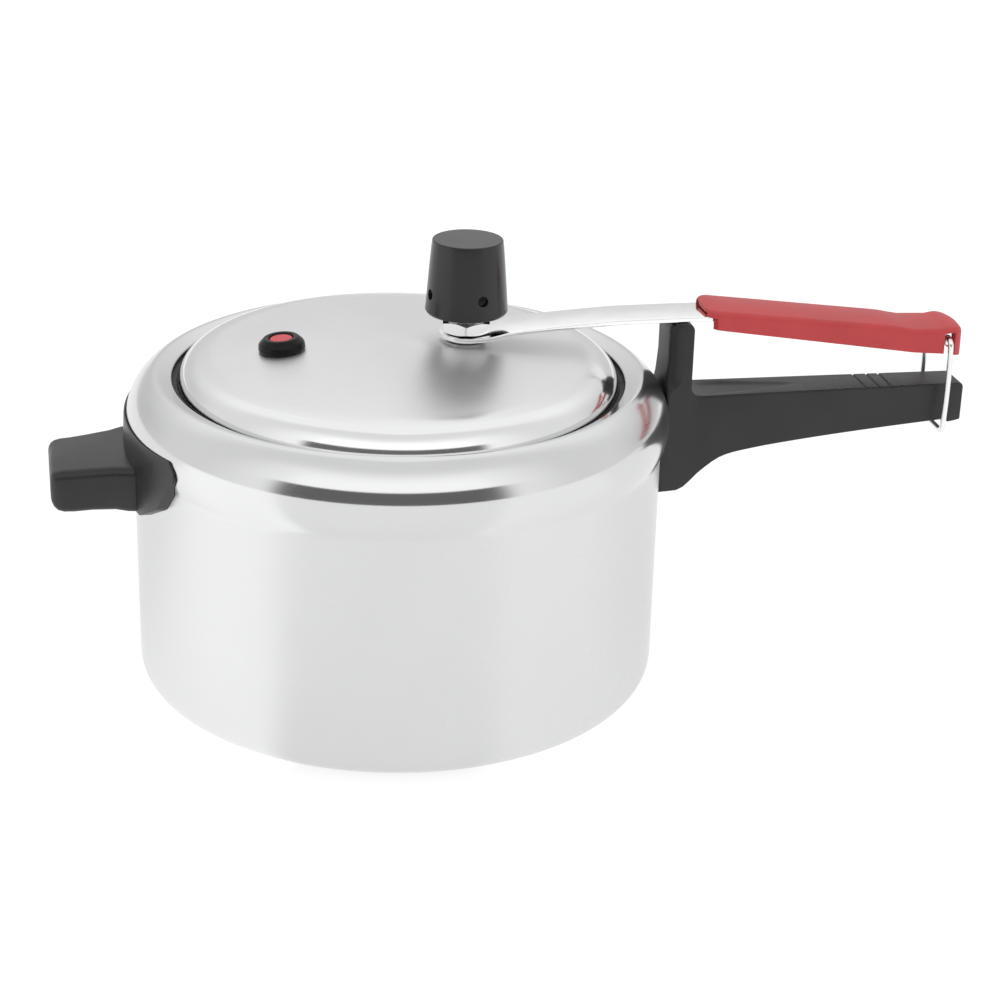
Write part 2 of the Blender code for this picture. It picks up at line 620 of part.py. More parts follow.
def make_bail(home, bail_pivot, metal):
    """Closed wire bail: a top run in the arm's eye, two legs and a bottom run under the handle's end."""
    eye = eye_centre()
    half = SLEEVE_END_HALF + GAP + WIRE_R
    drop = eye.z - (handle_low(BAIL_X) - BAIL_HANG - WIRE_R)
    corners = [(half, 0, 90, 0), (half, -drop, 0, -90), (-half, -drop, -90, -180), (-half, 0, 180, 90)]
    points = []
    for y, z, start, end in corners:
        centre = (y - BAIL_BEND if y > 0 else y + BAIL_BEND, z - BAIL_BEND if z == 0 else z + BAIL_BEND)
        points += arc(centre, BAIL_BEND, start, end, 3)
    wire = bpy.data.curves.new("latch_bail", "CURVE")
    wire.dimensions = "3D"
    wire.bevel_depth = WIRE_R
    wire.bevel_resolution = 2
    wire.use_fill_caps = True
    spline = wire.splines.new("POLY")
    spline.points.add(len(points) - 1)
    for point, (y, z) in zip(spline.points, points):
        point.co = (0, y, z, 1)
    spline.use_cyclic_u = True
    wire.materials.append(metal)
    bail = bpy.data.objects.new("latch_bail", wire)
    home.objects.link(bail)
    bail.parent = bail_pivot
    return bail


def handle_low(x):
    """Underside of the long handle: a deep root, a quick sweep up and a slow taper to the end."""
    root = WALL_R
    taper = HANDLE_END - root
    sweep = HANDLE_ROOT_DEPTH - HANDLE_END_DEPTH
    points = [(root, sweep), (root + 9 * MM, sweep), (root + 13 * MM, 0.93 * sweep), (root + 19 * MM, 0.7 * sweep),
              (root + 28 * MM, 0.46 * sweep), (root + 40 * MM, 0.35 * sweep), (root + 0.46 * taper, 0.24 * sweep),
              (root + 0.68 * taper, 0.13 * sweep), (HANDLE_END, 0)]
    return HANDLE_Z - HANDLE_END_DEPTH - curve_at(points, x)


def handle_half(x):
    """Half-width of the long handle, from its flared root to its end."""
    run = x - WALL_R
    flare = (HANDLE_ROOT_HALF - HANDLE_HALF) * max(0, 1 - run / (16 * MM))
    share = max(0, run - 16 * MM) / (HANDLE_LENGTH - 16 * MM)
    return HANDLE_HALF + flare - (HANDLE_HALF - HANDLE_END_HALF) * share


def make_long_handle(home, cutters, shell, plastic):
    """Long handle: a tapering grip, the post that carries the lever and a lip that keeps the bail."""
    inner = WALL_R - 4 * MM
    runs = [0, 12, 16, 20, 24, 28, 34, 42, 56, 76, 98, 118]
    stations = [inner + run * MM for run in runs if run * MM < HANDLE_LENGTH - 20 * MM]
    stations += [HANDLE_END - LIP_LENGTH - 3 * MM, HANDLE_END - 4 * MM, HANDLE_END - 1.2 * MM, HANDLE_END]
    sections = []
    for x in stations:
        end = max(0, 1 - (HANDLE_END - x) / (4 * MM))
        sections.append(soft_section(x, handle_half(x) - 1.4 * MM * end ** 2, handle_low(x) + 1.2 * MM * end ** 2,
                                     HANDLE_Z - 2.2 * MM * end ** 2, HANDLE_CORNER))
    handle = add_object("long_handle", loft_mesh("long_handle", sections), plastic, home)

    low = HANDLE_Z - 8 * MM
    crown = arc((POST_X, POST_TOP - CROWN_R), CROWN_R, 40, 140, 6)
    outline = [(POST_START + POST_LENGTH, low), (POST_START + POST_LENGTH, crown[0][1])] + crown
    outline += [(POST_START, crown[-1][1]), (POST_START, low)]
    sides = [(-POST_HALF, 1.5), (-POST_HALF + 1.5 * MM, 0), (POST_HALF - 1.5 * MM, 0), (POST_HALF, 1.5)]
    mid = Vector((POST_X, 0, low))
    sections = []
    for y, chamfer in sides:
        shrink = 1 - chamfer * MM / (POST_LENGTH / 2)
        sections.append([(mid.x + (x - mid.x) * shrink, y, z - chamfer * MM * (z > low)) for x, z in outline])
    post = guide("post", loft_mesh("post", sections), cutters)
    join(handle, post)

    lip_start = HANDLE_END - LIP_LENGTH
    lip_low = handle_low(HANDLE_END - 3 * MM) - LIP_DEPTH
    lip = [soft_section(lip_start, HANDLE_END_HALF - 1 * MM, lip_low + 0.6 * MM, HANDLE_Z - 5 * MM, 1 * MM),
           soft_section(lip_start + 1 * MM, HANDLE_END_HALF - 0.6 * MM, lip_low, HANDLE_Z - 5 * MM, 1 * MM),
           soft_section(HANDLE_END - 1.4 * MM, HANDLE_END_HALF - 1 * MM, lip_low + 1.5 * MM, HANDLE_Z - 5 * MM, 1 * MM)]
    join(handle, guide("handle_lip", loft_mesh("handle_lip", lip), cutters))

    cut(handle, shell)
    plate_low, plate_high = plate_heights()
    seat = WALL_R + GAP + PLATE_T + GAP + RIVET_HEAD_T + GAP
    pocket = box_mesh("plate_pocket", (WALL_R - 10 * MM, -PLATE_HALF - GAP, plate_low - GAP),
                      (seat, PLATE_HALF + GAP, plate_high + GAP))
    cut(handle, guide("plate_pocket", pocket, cutters))
    lug_x, lug_z = lug_place()
    slot = box_mesh("lug_pocket", (WALL_R, -LUG_HALF - GAP, lug_z - GAP),
                    (lug_x + 6 * MM + GAP, LUG_HALF + GAP, lug_z + LUG_T + GAP))
    cut(handle, guide("lug_pocket", slot, cutters))
    seat_z = handle_low(lug_x) + SCREW_HEAD_T + SCREW_COVER
    well = cylinder_mesh("handle_screw_well", SCREW_HEAD_R + GAP, (lug_x, 0, seat_z - 12 * MM), (lug_x, 0, seat_z))
    cut(handle, guide("handle_screw_well", well, cutters))
    shaft = cylinder_mesh("handle_screw_hole", SCREW_R + GAP, (lug_x, 0, seat_z - MM),
                          (lug_x, 0, lug_z + LUG_T + 4 * MM + GAP), 16)
    cut(handle, guide("handle_screw_hole", shaft, cutters))


def plate_heights():
    """Bottom and top of the long handle's bracket plate, below the shoulder."""
    high = SHOULDER_Z - PLATE_DROP
    return high - PLATE_H, high


def lug_place():
    """Screw axis and underside of the lug that runs from the plate into the long handle."""
    plate_low, plate_high = plate_heights()
    return WALL_R + 14 * MM, (plate_low + plate_high - LUG_T) / 2


def plate_mesh(name, low, high, side):
    """Curved plate that lies on the pot's wall, on the +X side or the -X side."""
    inner = WALL_R + GAP
    outer = inner + PLATE_T
    reach = PLATE_HALF / inner
    angles = [reach * (i / 3 - 1) for i in range(7)]
    sections = []
    for a in angles:
        sections.append([(side * r * cos(a), r * sin(a), z)
                         for r, z in ((inner, low), (outer, low), (outer, high), (inner, high))])
    return loft_mesh(name, sections)


def rivet(name, side, y, z, home, metal):
    """Rivet through the wall and a bracket plate, with a domed head inside the pot."""
    inner_face = sqrt((WALL_R - WALL_T) ** 2 - (abs(y) + RIVET_HEAD_R) ** 2) - GAP
    outer_face = sqrt((WALL_R + GAP + PLATE_T) ** 2 - y ** 2) + GAP
    profile = [(0, outer_face + RIVET_HEAD_T), (RIVET_HEAD_R - 0.4 * MM, outer_face + RIVET_HEAD_T),
               (RIVET_HEAD_R, outer_face + RIVET_HEAD_T - 0.4 * MM), (RIVET_HEAD_R, outer_face),
               (RIVET_R, outer_face), (RIVET_R, inner_face), (RIVET_HEAD_R, inner_face),
               (RIVET_HEAD_R * 0.8, inner_face - 0.8 * MM), (RIVET_HEAD_R * 0.4, inner_face - 1.3 * MM),
               (0, inner_face - 1.4 * MM)]
    return turned(name, profile, metal, home, (0, y, z), steps=16, aim=(0, side * pi / 2, 0))


def rivet_hole(name, side, y, z, cutters):
    reach = WALL_R + 8 * MM
    mesh = cylinder_mesh(name, RIVET_R + GAP, (side * (WALL_R - 12 * MM), y, z), (side * reach, y, z), 16)
    return guide(name, mesh, cutters)


def make_long_bracket(home, cutters, pot, metal):
    """Bracket of the long handle: a plate on the wall with a lug, two rivets and the handle screw."""
    low, high = plate_heights()
    bracket = add_object("long_handle_bracket", plate_mesh("long_handle_bracket", low, high, 1), metal, home)
    lug_x, lug_z = lug_place()
    lug = box_mesh("lug", (WALL_R + GAP + PLATE_T / 2, -LUG_HALF, lug_z), (lug_x + 6 * MM, LUG_HALF, lug_z + LUG_T))
    join(bracket, guide("lug", lug, cutters))
    hole = cylinder_mesh("lug_hole", SCREW_R + GAP, (lug_x, 0, lug_z - 2 * MM), (lug_x, 0, lug_z + 5 * MM), 16)
    cut(bracket, guide("lug_hole", hole, cutters))
    for name, z in (("lower", low + RIVET_HEAD_R), ("upper", high - RIVET_HEAD_R)):
        tool = rivet_hole(f"long_rivet_hole_{name}", 1, 0, z, cutters)
        cut(bracket, tool)
        cut(pot, tool)
        rivet(f"long_handle_rivet_{name}", 1, 0, z, home, metal)
    seat_z = handle_low(lug_x) + SCREW_HEAD_T + SCREW_COVER - GAP
    screw("long_handle_screw", Vector((lug_x, 0, seat_z)), (0, 0, 0), lug_z + LUG_T + 4 * MM - seat_z,
          SCREW_HEAD_T, home, cutters, metal)


def grip_stations():
    """Outlines of the short handle from its outer end to its wing tips: x, half-width, bottom, top."""
    outer = -WALL_R - GRIP_REACH
    top = GRIP_Z + GRIP_H
    end = [(outer, GRIP_HALF - 2 * MM, GRIP_Z + 7 * MM, top - 4 * MM),
           (outer + 2 * MM, GRIP_HALF - 1 * MM, GRIP_Z + 3.2 * MM, top - 2.8 * MM),
           (outer + 6.5 * MM, GRIP_HALF, GRIP_Z, top - 2.2 * MM),
           (outer + 0.6 * GRIP_REACH, GRIP_HALF + 2 * MM, GRIP_Z + 0.5 * MM, top - 0.8 * MM)]
    wings = [(17, 0.06, -0.5), (20, 0.16, 2.5), (24, 0.36, 6.5), (28, 0.64, 11), (WING_ANGLE, 1, 13.5)]
    tip_low = GRIP_Z + 27 * MM
    flare = []
    for angle, share, rise in wings:
        reach = WALL_R + BULGE + WING_T * (1.6 - share)
        turn = radians(angle)
        flare.append((-reach * cos(turn), reach * sin(turn), GRIP_Z + (tip_low - GRIP_Z) * share, top + rise * MM))
    root = [(-WALL_R - 7 * MM, GRIP_HALF + 5 * MM, GRIP_Z + 1.2 * MM, top - 0.5 * MM)]
    return end + root + flare


def make_short_handle(home, cutters, shell, pot, plastic, metal):
    """Short helper handle with wings along the wall, its bracket, rivets and the screw through its end."""
    outer = -WALL_R - GRIP_REACH
    sections = [soft_section(x, half, low, high, GRIP_CORNER) for x, half, low, high in grip_stations()]
    handle = add_object("short_handle", loft_mesh("short_handle", sections), plastic, home)
    cut(handle, shell)

    mid = GRIP_Z + 7.5 * MM
    low, high = mid - 5.5 * MM, mid + 5.5 * MM
    seat = -(WALL_R + GAP + PLATE_T + GAP + RIVET_HEAD_T + GAP)
    pocket = box_mesh("grip_pocket", (seat, -PLATE_HALF - 2 * MM - GAP, low - GAP),
                      (-WALL_R + 12 * MM, PLATE_HALF + 2 * MM + GAP, high + GAP))
    cut(handle, guide("grip_pocket", pocket, cutters))
    boss_r = 3.2 * MM
    boss_end = seat - 3 * MM
    boss = cylinder_mesh("boss_pocket", boss_r + GAP, (-WALL_R, 0, mid), (boss_end - GAP, 0, mid), 24)
    cut(handle, guide("boss_pocket", boss, cutters))
    head_x = outer + 12 * MM
    shaft = cylinder_mesh("grip_screw_hole", SCREW_R + GAP, (-WALL_R - 2 * MM, 0, mid), (outer + 5 * MM, 0, mid), 16)
    cut(handle, guide("grip_screw_hole", shaft, cutters))
    well = cylinder_mesh("grip_screw_well", SCREW_HEAD_R + GAP, (outer - 5 * MM, 0, mid), (head_x, 0, mid), 24)
    cut(handle, guide("grip_screw_well", well, cutters))

    bracket = add_object("short_handle_bracket", plate_mesh("short_handle_bracket", low, high, -1), metal, home)
    boss = cylinder_mesh("boss", boss_r, (-WALL_R - GAP - PLATE_T / 2, 0, mid), (boss_end, 0, mid), 24)
    join(bracket, guide("boss", boss, cutters))
    bore = cylinder_mesh("boss_bore", SCREW_R + GAP, (-WALL_R - 0.1 * MM, 0, mid), (boss_end - MM, 0, mid), 16)
    cut(bracket, guide("boss_bore", bore, cutters))
    for name, y in (("left", -RIVET_SPREAD), ("right", RIVET_SPREAD)):
        tool = rivet_hole(f"short_rivet_hole_{name}", -1, y, mid, cutters)
        cut(bracket, tool)
        cut(pot, tool)
        rivet(f"short_handle_rivet_{name}", -1, y, mid, home, metal)
    length = -(WALL_R + 3 * GAP) - head_x
    screw("short_handle_screw", Vector((head_x - GAP, 0, mid)), (0, pi / 2, 0), length, SCREW_HEAD_T,
          home, cutters, metal)


def main():
    clear_scene()
    home = make_collection("stovetop_pressure_cooker")
    cutters = make_collection("cutters")
    aluminium = material("polished_aluminium", (0.86, 0.86, 0.87), 0.12, 1.0)
    steel = material("plated_steel", (0.8, 0.8, 0.81), 0.2, 1.0)
    brass = material("nickel_brass", (0.75, 0.72, 0.66), 0.25, 1.0)
    black = material("black_phenolic", (0.02, 0.02, 0.022), 0.4)
    rubber = material("black_rubber", (0.03, 0.03, 0.03), 0.6)
    red = material("red_plastic", (0.55, 0.05, 0.07), 0.42)

    pot = make_pot(home, aluminium)
    wall = [(WALL_R + GAP, BASE_FILLET)] + [(r, z) for r, z in pot_side(GAP) if z > BASE_FILLET]
    shell = guide("wall_clearance", loft_mesh("wall_clearance", [oval_ring(r, r, z) for r, z in wall]), cutters)
    make_long_handle(home, cutters, shell, black)
    make_long_bracket(home, cutters, pot, steel)
    make_short_handle(home, cutters, shell, pot, black, steel)

    lever_pivot = add_empty("lever_pivot", PIVOT, home)
    make_lid(home, cutters, lever_pivot, aluminium, rubber)
    make_vent(home, cutters, lever_pivot, steel, brass, rubber)
    make_arm(home, cutters, lever_pivot, steel)
    make_sleeve(home, cutters, lever_pivot, red, steel)
    make_safety_valve(home, lever_pivot, rubber, steel, red)
    make_weight(home, cutters, lever_pivot, black, steel)
    bail_pivot = add_empty("bail_pivot", eye_centre(), home)
    make_bail(home, bail_pivot, steel)


main()
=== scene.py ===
"""Stovetop pressure cooker: polished pot and inner lid, steel lever arm with its red grip and bail,
black handles, regulator weight and safety valve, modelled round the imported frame.

Shapes are worked out in millimetres and placed in metres. +X runs along the long handle, +Z is up.
"""

from math import acos, atan, ceil, cos, degrees, hypot, pi, radians, sin, sqrt, tan

import bmesh
import bpy
from mathutils import Matrix, Vector


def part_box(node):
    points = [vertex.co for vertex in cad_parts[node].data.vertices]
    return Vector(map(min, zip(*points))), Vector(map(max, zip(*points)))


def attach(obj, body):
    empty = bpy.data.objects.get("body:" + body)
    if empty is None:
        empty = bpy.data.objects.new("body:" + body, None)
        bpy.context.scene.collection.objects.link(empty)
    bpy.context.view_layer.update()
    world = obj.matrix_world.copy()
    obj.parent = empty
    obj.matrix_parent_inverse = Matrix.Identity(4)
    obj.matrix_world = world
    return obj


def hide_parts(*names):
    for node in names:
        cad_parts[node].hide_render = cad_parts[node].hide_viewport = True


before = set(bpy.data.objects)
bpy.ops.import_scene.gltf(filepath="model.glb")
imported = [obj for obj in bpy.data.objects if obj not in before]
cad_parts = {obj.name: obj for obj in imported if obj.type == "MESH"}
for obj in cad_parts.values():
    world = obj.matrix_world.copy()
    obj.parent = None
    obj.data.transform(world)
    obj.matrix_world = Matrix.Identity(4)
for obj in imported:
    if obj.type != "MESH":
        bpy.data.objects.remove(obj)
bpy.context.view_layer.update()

MM = 0.001
TURN_STEP = 6
RING_STEPS = 192
PART_STEPS = 72
MERGE = 0.002
SHARP = 32


def reach(node):
    """Lowest and highest corner of a frame node, in millimetres."""
    low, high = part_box(node)
    return low / MM, high / MM


POT_HIGH = reach("pot_body")[1]
LID_HIGH = reach("lid_shell")[1]
ARM_HIGH = reach("lever_arm")[1]
SLEEVE_LOW, SLEEVE_HIGH = reach("grip_sleeve")
HANDLE_HIGH = reach("long_handle")[1]
GRIP_LOW = reach("short_handle")[0]
WEIGHT_LOW, WEIGHT_HIGH = reach("weight_cap")
NUT_LOW, NUT_HIGH = reach("lever_nut")
BAIL_LOW, BAIL_HIGH = reach("latch_bail")
PIPE_LOW, PIPE_HIGH = reach("vent_pipe")
SPACER_LOW, SPACER_HIGH = reach("arm_spacer")

# Pot
OUTER_R = POT_HIGH.x
BULGE = 2.9
WALL_R = OUTER_R - BULGE
WALL_T = 2
BASE_FILLET = 11
SHOULDER_Z = 113
SHOULDER_R = 21.6
SHOULDER_TURN = 58
SHOULDER_C = OUTER_R - SHOULDER_R
STEP_R = 6
STEP_TURN = degrees(acos((WALL_R + STEP_R - SHOULDER_C) / (SHOULDER_R + STEP_R)))
STEP_Z = SHOULDER_Z - (SHOULDER_R + STEP_R) * sin(radians(STEP_TURN))
CREST_R = 4.5
CREST_C = SHOULDER_C + (SHOULDER_R - CREST_R) * cos(radians(SHOULDER_TURN))
CREST_Z = SHOULDER_Z + (SHOULDER_R - CREST_R) * sin(radians(SHOULDER_TURN))
LAND_SLOPE = 20
MOUTH_R = OUTER_R - 18.9
OVAL = 2.5
OVAL_SHARE = 1 + OVAL / MOUTH_R
LIP_R = WALL_T / 2
LIP_C = MOUTH_R + LIP_R
LAND_SIN, LAND_COS = sin(radians(LAND_SLOPE)), cos(radians(LAND_SLOPE))
LAND_RUN = (CREST_C - (CREST_R - LIP_R) * LAND_SIN - LIP_C) / LAND_COS
LIP_Z = CREST_Z + (CREST_R - LIP_R) * LAND_COS - LAND_RUN * LAND_SIN
GAP = 0.3

# Lid and gasket
LID_T = 1.8
LID_TOP = LID_HIGH.z
LID_WALL_R = MOUTH_R - 2.3
DOME_R = LID_WALL_R - 6.9
DOME_RISE = 6.1
GASKET_TOP = LIP_Z - LIP_R - GAP
FLANGE_TOP = GASKET_TOP - 2.6
FLANGE_R = LID_WALL_R + 2.9
GASKET_R = FLANGE_R + GAP + 1.3
GASKET_LOW = FLANGE_TOP - LID_T - GAP - 2

# Vent, nut and weight
VENT_X = (WEIGHT_LOW.x + WEIGHT_HIGH.x) / 2
NUT_FLATS = 19
NUT_TURN = radians(10)
PIPE_R = 5
NOZZLE_R = 3.5
WEIGHT_FOOT_R = (WEIGHT_HIGH.x - WEIGHT_LOW.x) / 2
WEIGHT_TOP_R = 14.3
STEAM_HOLE_R = 2.2
STEAM_HOLE_Z = 8.7
STEAM_HOLE_TURN = -76.5
VENT_BORE_R = 1.25
THREAD_PITCH = 0.9
THREAD_DEPTH = 0.45

# Safety valve
SAFETY_X = -47.7
SAFETY_R = 9.5
SAFETY_H = 5.6
BUTTON_R = 4.75

# Lever arm, sleeve and bail
ARM_T = 2
ARM_HALF = 10
ARM_END_R = 11
ARM_RISE = 5.1
ARM_FALL = 0.12
ARM_Z = ARM_HIGH.z - ARM_RISE - ARM_T
POST_START = OUTER_R + 2 * GAP
POST_LENGTH = 10
POST_X = POST_START + POST_LENGTH / 2
POST_TOP = ARM_Z + ARM_RISE - GAP
POST_HALF = 11.5
WIRE_R = 1.2
BAIL_X = (BAIL_LOW.x + BAIL_HIGH.x) / 2
SLEEVE_HALF = SLEEVE_HIGH.y

# Handles
HANDLE_Z = 117.7
HANDLE_END = HANDLE_HIGH.x
HANDLE_LENGTH = HANDLE_END - WALL_R
HANDLE_CORNER = 2.4
HANDLE_THIN = 16
HANDLE_DEEP = 41.7
GROOVES = (198.5, 204.5, 210)
GROOVE_HALF = 0.4
GROOVE_DEPTH = 0.55
THUMB_START = 123
THUMB_END = 170
THUMB_HALF = 7.2
THUMB_DEPTH = 1.1
STIPPLE_START = (177, 184)
STIPPLE_END = (222, 214)
GRIP_HALF = 20.5
GRIP_Z = 84
GRIP_H = 19.5
GRIP_REACH = -GRIP_LOW.x - WALL_R
SLOT_HALF = 4.2

# Where the picture is taken from
AZIMUTH = radians(-12)
ELEVATION = radians(22.56)
ROLL = radians(-1.63)
FACING = Vector((-sin(AZIMUTH), cos(AZIMUTH), 0))
LENS = 83.67
SENSOR = 36
CAMERA_RIGHT = 0.04262
CAMERA_UP = 0.06926
CAMERA_BACK = 0.99808

# Studio
FLOOR_HALF = 60
FLOOR_GLOW = 0.77
# Strengths of the painted pools of light in the floor's emission, left and right of the pot.
LEFT_POOL = 0.26
RIGHT_POOL = 0.1
POOL_START = radians(23)
POOL_WAY = radians(46)
SKY_LEVEL = 1.15


# ---------------------------------------------------------------- mesh tools


class Outline:
    """A wire in the XZ plane, grown from one point by straight runs and turns about a centre."""

    def __init__(self, x, z):
        self.bm = bmesh.new()
        self.first = self.tip = self.bm.verts.new((x, 0, z))

    def to(self, x, z):
        self.tip = bmesh.ops.extrude_vert_indiv(self.bm, verts=[self.tip])["verts"][0]
        self.tip.co = (x, 0, z)
        return self

    def turn(self, x, z, angle):
        """Swings the tip about a centre, from +X toward +Z for a positive angle in degrees."""
        steps = max(2, ceil(abs(angle) / TURN_STEP))
        made = bmesh.ops.spin(self.bm, geom=[self.tip], cent=(x, 0, z), axis=(0, -1, 0),
                              angle=radians(angle), steps=steps)
        self.tip = next(g for g in made["geom_last"] if isinstance(g, bmesh.types.BMVert))
        return self

    def through(self, corners, closed=False):
        """Follows corners (x, z, radius), the first already being where the tip stands."""
        last = len(corners) - 1
        for i in range(1, len(corners)):
            x, z, radius = corners[i]
            if not radius or (i == last and not closed):
                self.to(x, z)
                continue
            here = Vector((x, z))
            before = (Vector(corners[i - 1][:2]) - here).normalized()
            after = (Vector(corners[(i + 1) % len(corners)][:2]) - here).normalized()
            half = before.angle(after) / 2
            start = here + before * radius / tan(half)
            centre = here + (before + after).normalized() * radius / sin(half)
            way = 1 if before.x * after.y - before.y * after.x < 0 else -1
            self.to(*start)
            self.turn(*centre, way * (180 - 2 * degrees(half)))
        if closed:
            self.close()
        return self

    def close(self):
        bmesh.ops.contextual_create(self.bm, geom=[self.tip, self.first])
        return self


def lathe(line, steps=PART_STEPS, x=0):
    """Turns a wire about a vertical axis."""
    bm = line.bm
    if x:
        bmesh.ops.translate(bm, vec=(x, 0, 0), verts=bm.verts)
    bmesh.ops.spin(bm, geom=bm.verts[:] + bm.edges[:], cent=(x, 0, 0), axis=(0, 0, 1),
                   angle=2 * pi, steps=steps, use_merge=True)
    bmesh.ops.remove_doubles(bm, verts=bm.verts, dist=MERGE)
    return bm


def slab(line, half):
    """Fills a closed wire and gives it a width of 2 * half along Y."""
    bm = line.bm
    bmesh.ops.contextual_create(bm, geom=bm.edges[:])
    bmesh.ops.translate(bm, vec=(0, -half, 0), verts=bm.verts)
    made = bmesh.ops.extrude_face_region(bm, geom=bm.faces[:])
    verts = [g for g in made["geom"] if isinstance(g, bmesh.types.BMVert)]
    bmesh.ops.translate(bm, vec=(0, 2 * half, 0), verts=verts)
    bmesh.ops.recalc_face_normals(bm, faces=bm.faces)
    return bm


def skin(sections, closed=True, caps=True):
    """Surface over wires of equal point count: each is extruded from the last and moved into place."""
    bm = bmesh.new()
    ring = bmesh.ops.create_vert(bm, co=sections[0][0])["vert"]
    for place in sections[0][1:]:
        ring = ring + bmesh.ops.extrude_vert_indiv(bm, verts=ring[-1:])["verts"]
        ring[-1].co = place
    if closed:
        bmesh.ops.contextual_create(bm, geom=[ring[-1], ring[0]])
    edges = bm.edges[:]
    if caps:
        bmesh.ops.contextual_create(bm, geom=edges)
    for section in sections[1:]:
        made = bmesh.ops.extrude_edge_only(bm, edges=edges)["geom"]
        new = {g for g in made if isinstance(g, bmesh.types.BMVert)}
        ring = [next(e.other_vert(v) for e in v.link_edges if e.other_vert(v) in new) for v in ring]
        for vert, place in zip(ring, section):
            vert.co = place
        inside = set(ring)
        edges = [g for g in made if isinstance(g, bmesh.types.BMEdge) and set(g.verts) <= inside]
    if caps:
        bmesh.ops.contextual_create(bm, geom=edges)
    bmesh.ops.recalc_face_normals(bm, faces=bm.faces)
    return bm


def slice_at(bm, places, axis, chosen=None):
    """Cuts loops across one axis, through the whole mesh or the faces that a test picks."""
    normal = Vector((axis == 0, axis == 1, axis == 2))
    for place in places:
        faces = [f for f in bm.faces if chosen is None or chosen(f)]
        verts = {v for f in faces for v in f.verts}
        edges = {e for f in faces for e in f.edges}
        bmesh.ops.bisect_plane(bm, geom=[*verts, *edges, *faces], dist=MERGE, plane_co=normal * place,
                               plane_no=normal)


def rim_bevel(bm, edges, width, segments):
    bmesh.ops.bevel(bm, geom=edges, offset=width, segments=segments, profile=0.5, affect="EDGES",
                    material=-1, clamp_overlap=True)


def solid(bm, name="work"):
    mesh = bpy.data.meshes.new(name)
    bm.to_mesh(mesh)
    bm.free()
    obj = bpy.data.objects.new(name, mesh)
    bpy.context.scene.collection.objects.link(obj)
    return obj


def combine(bm, other, operation="DIFFERENCE"):
    """Cuts one closed shape with another, or joins them."""
    bmesh.ops.recalc_face_normals(bm, faces=bm.faces)
    bmesh.ops.recalc_face_normals(other, faces=other.faces)
    body, tool = solid(bm), solid(other)
    modifier = body.modifiers.new("combine", "BOOLEAN")
    modifier.operation, modifier.object, modifier.solver = operation, tool, "EXACT"
    depsgraph = bpy.context.evaluated_depsgraph_get()
    made = bmesh.new()
    made.from_mesh(body.evaluated_get(depsgraph).to_mesh())
    for obj in (body, tool):
        mesh = obj.data
        bpy.data.objects.remove(obj)
        bpy.data.meshes.remove(mesh)
    return made


def rod(radius, start, end, steps=48):
    """Closed cylinder between two points."""
    start, end = Vector(start), Vector(end)
    along = end - start
    bm = bmesh.new()
    aim = Vector((0, 0, 1)).rotation_difference(along).to_matrix().to_4x4()
    bmesh.ops.create_cone(bm, cap_ends=True, segments=steps, radius1=radius, radius2=radius,
                          depth=along.length, matrix=Matrix.Translation((start + end) / 2) @ aim)
    return bm


def merge_in(bm, other):
    """Adds another mesh to this one as it stands."""
    mesh = bpy.data.meshes.new("part")
    other.to_mesh(mesh)
    other.free()
    bm.from_mesh(mesh)
    bpy.data.meshes.remove(mesh)
    return bm


def piece(name, bm, finish, body, slot, *nodes, sharp=SHARP):
    """Places a shape made in millimetres as a piece that rides on a body and stands for frame nodes."""
    bmesh.ops.remove_doubles(bm, verts=bm.verts, dist=MERGE)
    bmesh.ops.recalc_face_normals(bm, faces=bm.faces)
    bmesh.ops.scale(bm, vec=(MM, MM, MM), verts=bm.verts)
    obj = solid(bm, name)
    obj.data.materials.append(finish)
    obj.data.shade_smooth()
    obj.data.set_sharp_from_angle(angle=radians(sharp))
    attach(obj, body)
    if nodes:
        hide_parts(*nodes)
    return obj


def blend(t):
    """Smooth step from 0 to 1."""
    t = min(max(t, 0), 1)
    return t * t * (3 - 2 * t)


def curve_at(points, x):
    """Smooth curve through points sorted by their first value, read at x."""
    x = min(max(x, points[0][0]), points[-1][0])
    i = next(k for k in range(len(points) - 1) if x <= points[k + 1][0])

    def slope(k):
        before, after = points[max(k - 1, 0)], points[min(k + 1, len(points) - 1)]
        return (after[1] - before[1]) / (after[0] - before[0])

    (x0, y0), (x1, y1) = points[i], points[i + 1]
    t = (x - x0) / (x1 - x0)
    rise = (2 * t**3 - 3 * t**2 + 1) * y0 + (3 * t**2 - 2 * t**3) * y1
    lean = (t**3 - 2 * t**2 + t) * slope(i) + (t**3 - t**2) * slope(i + 1)
    return rise + lean * (x1 - x0)


def arc(centre, rx, rz, start, end, steps):
    """Points on an ellipse's arc, in the plane of a section."""
    angles = [radians(start + (end - start) * i / steps) for i in range(steps + 1)]
    return [(centre[0] + rx * cos(a), centre[1] + rz * sin(a)) for a in angles]


# ---------------------------------------------------------------- materials


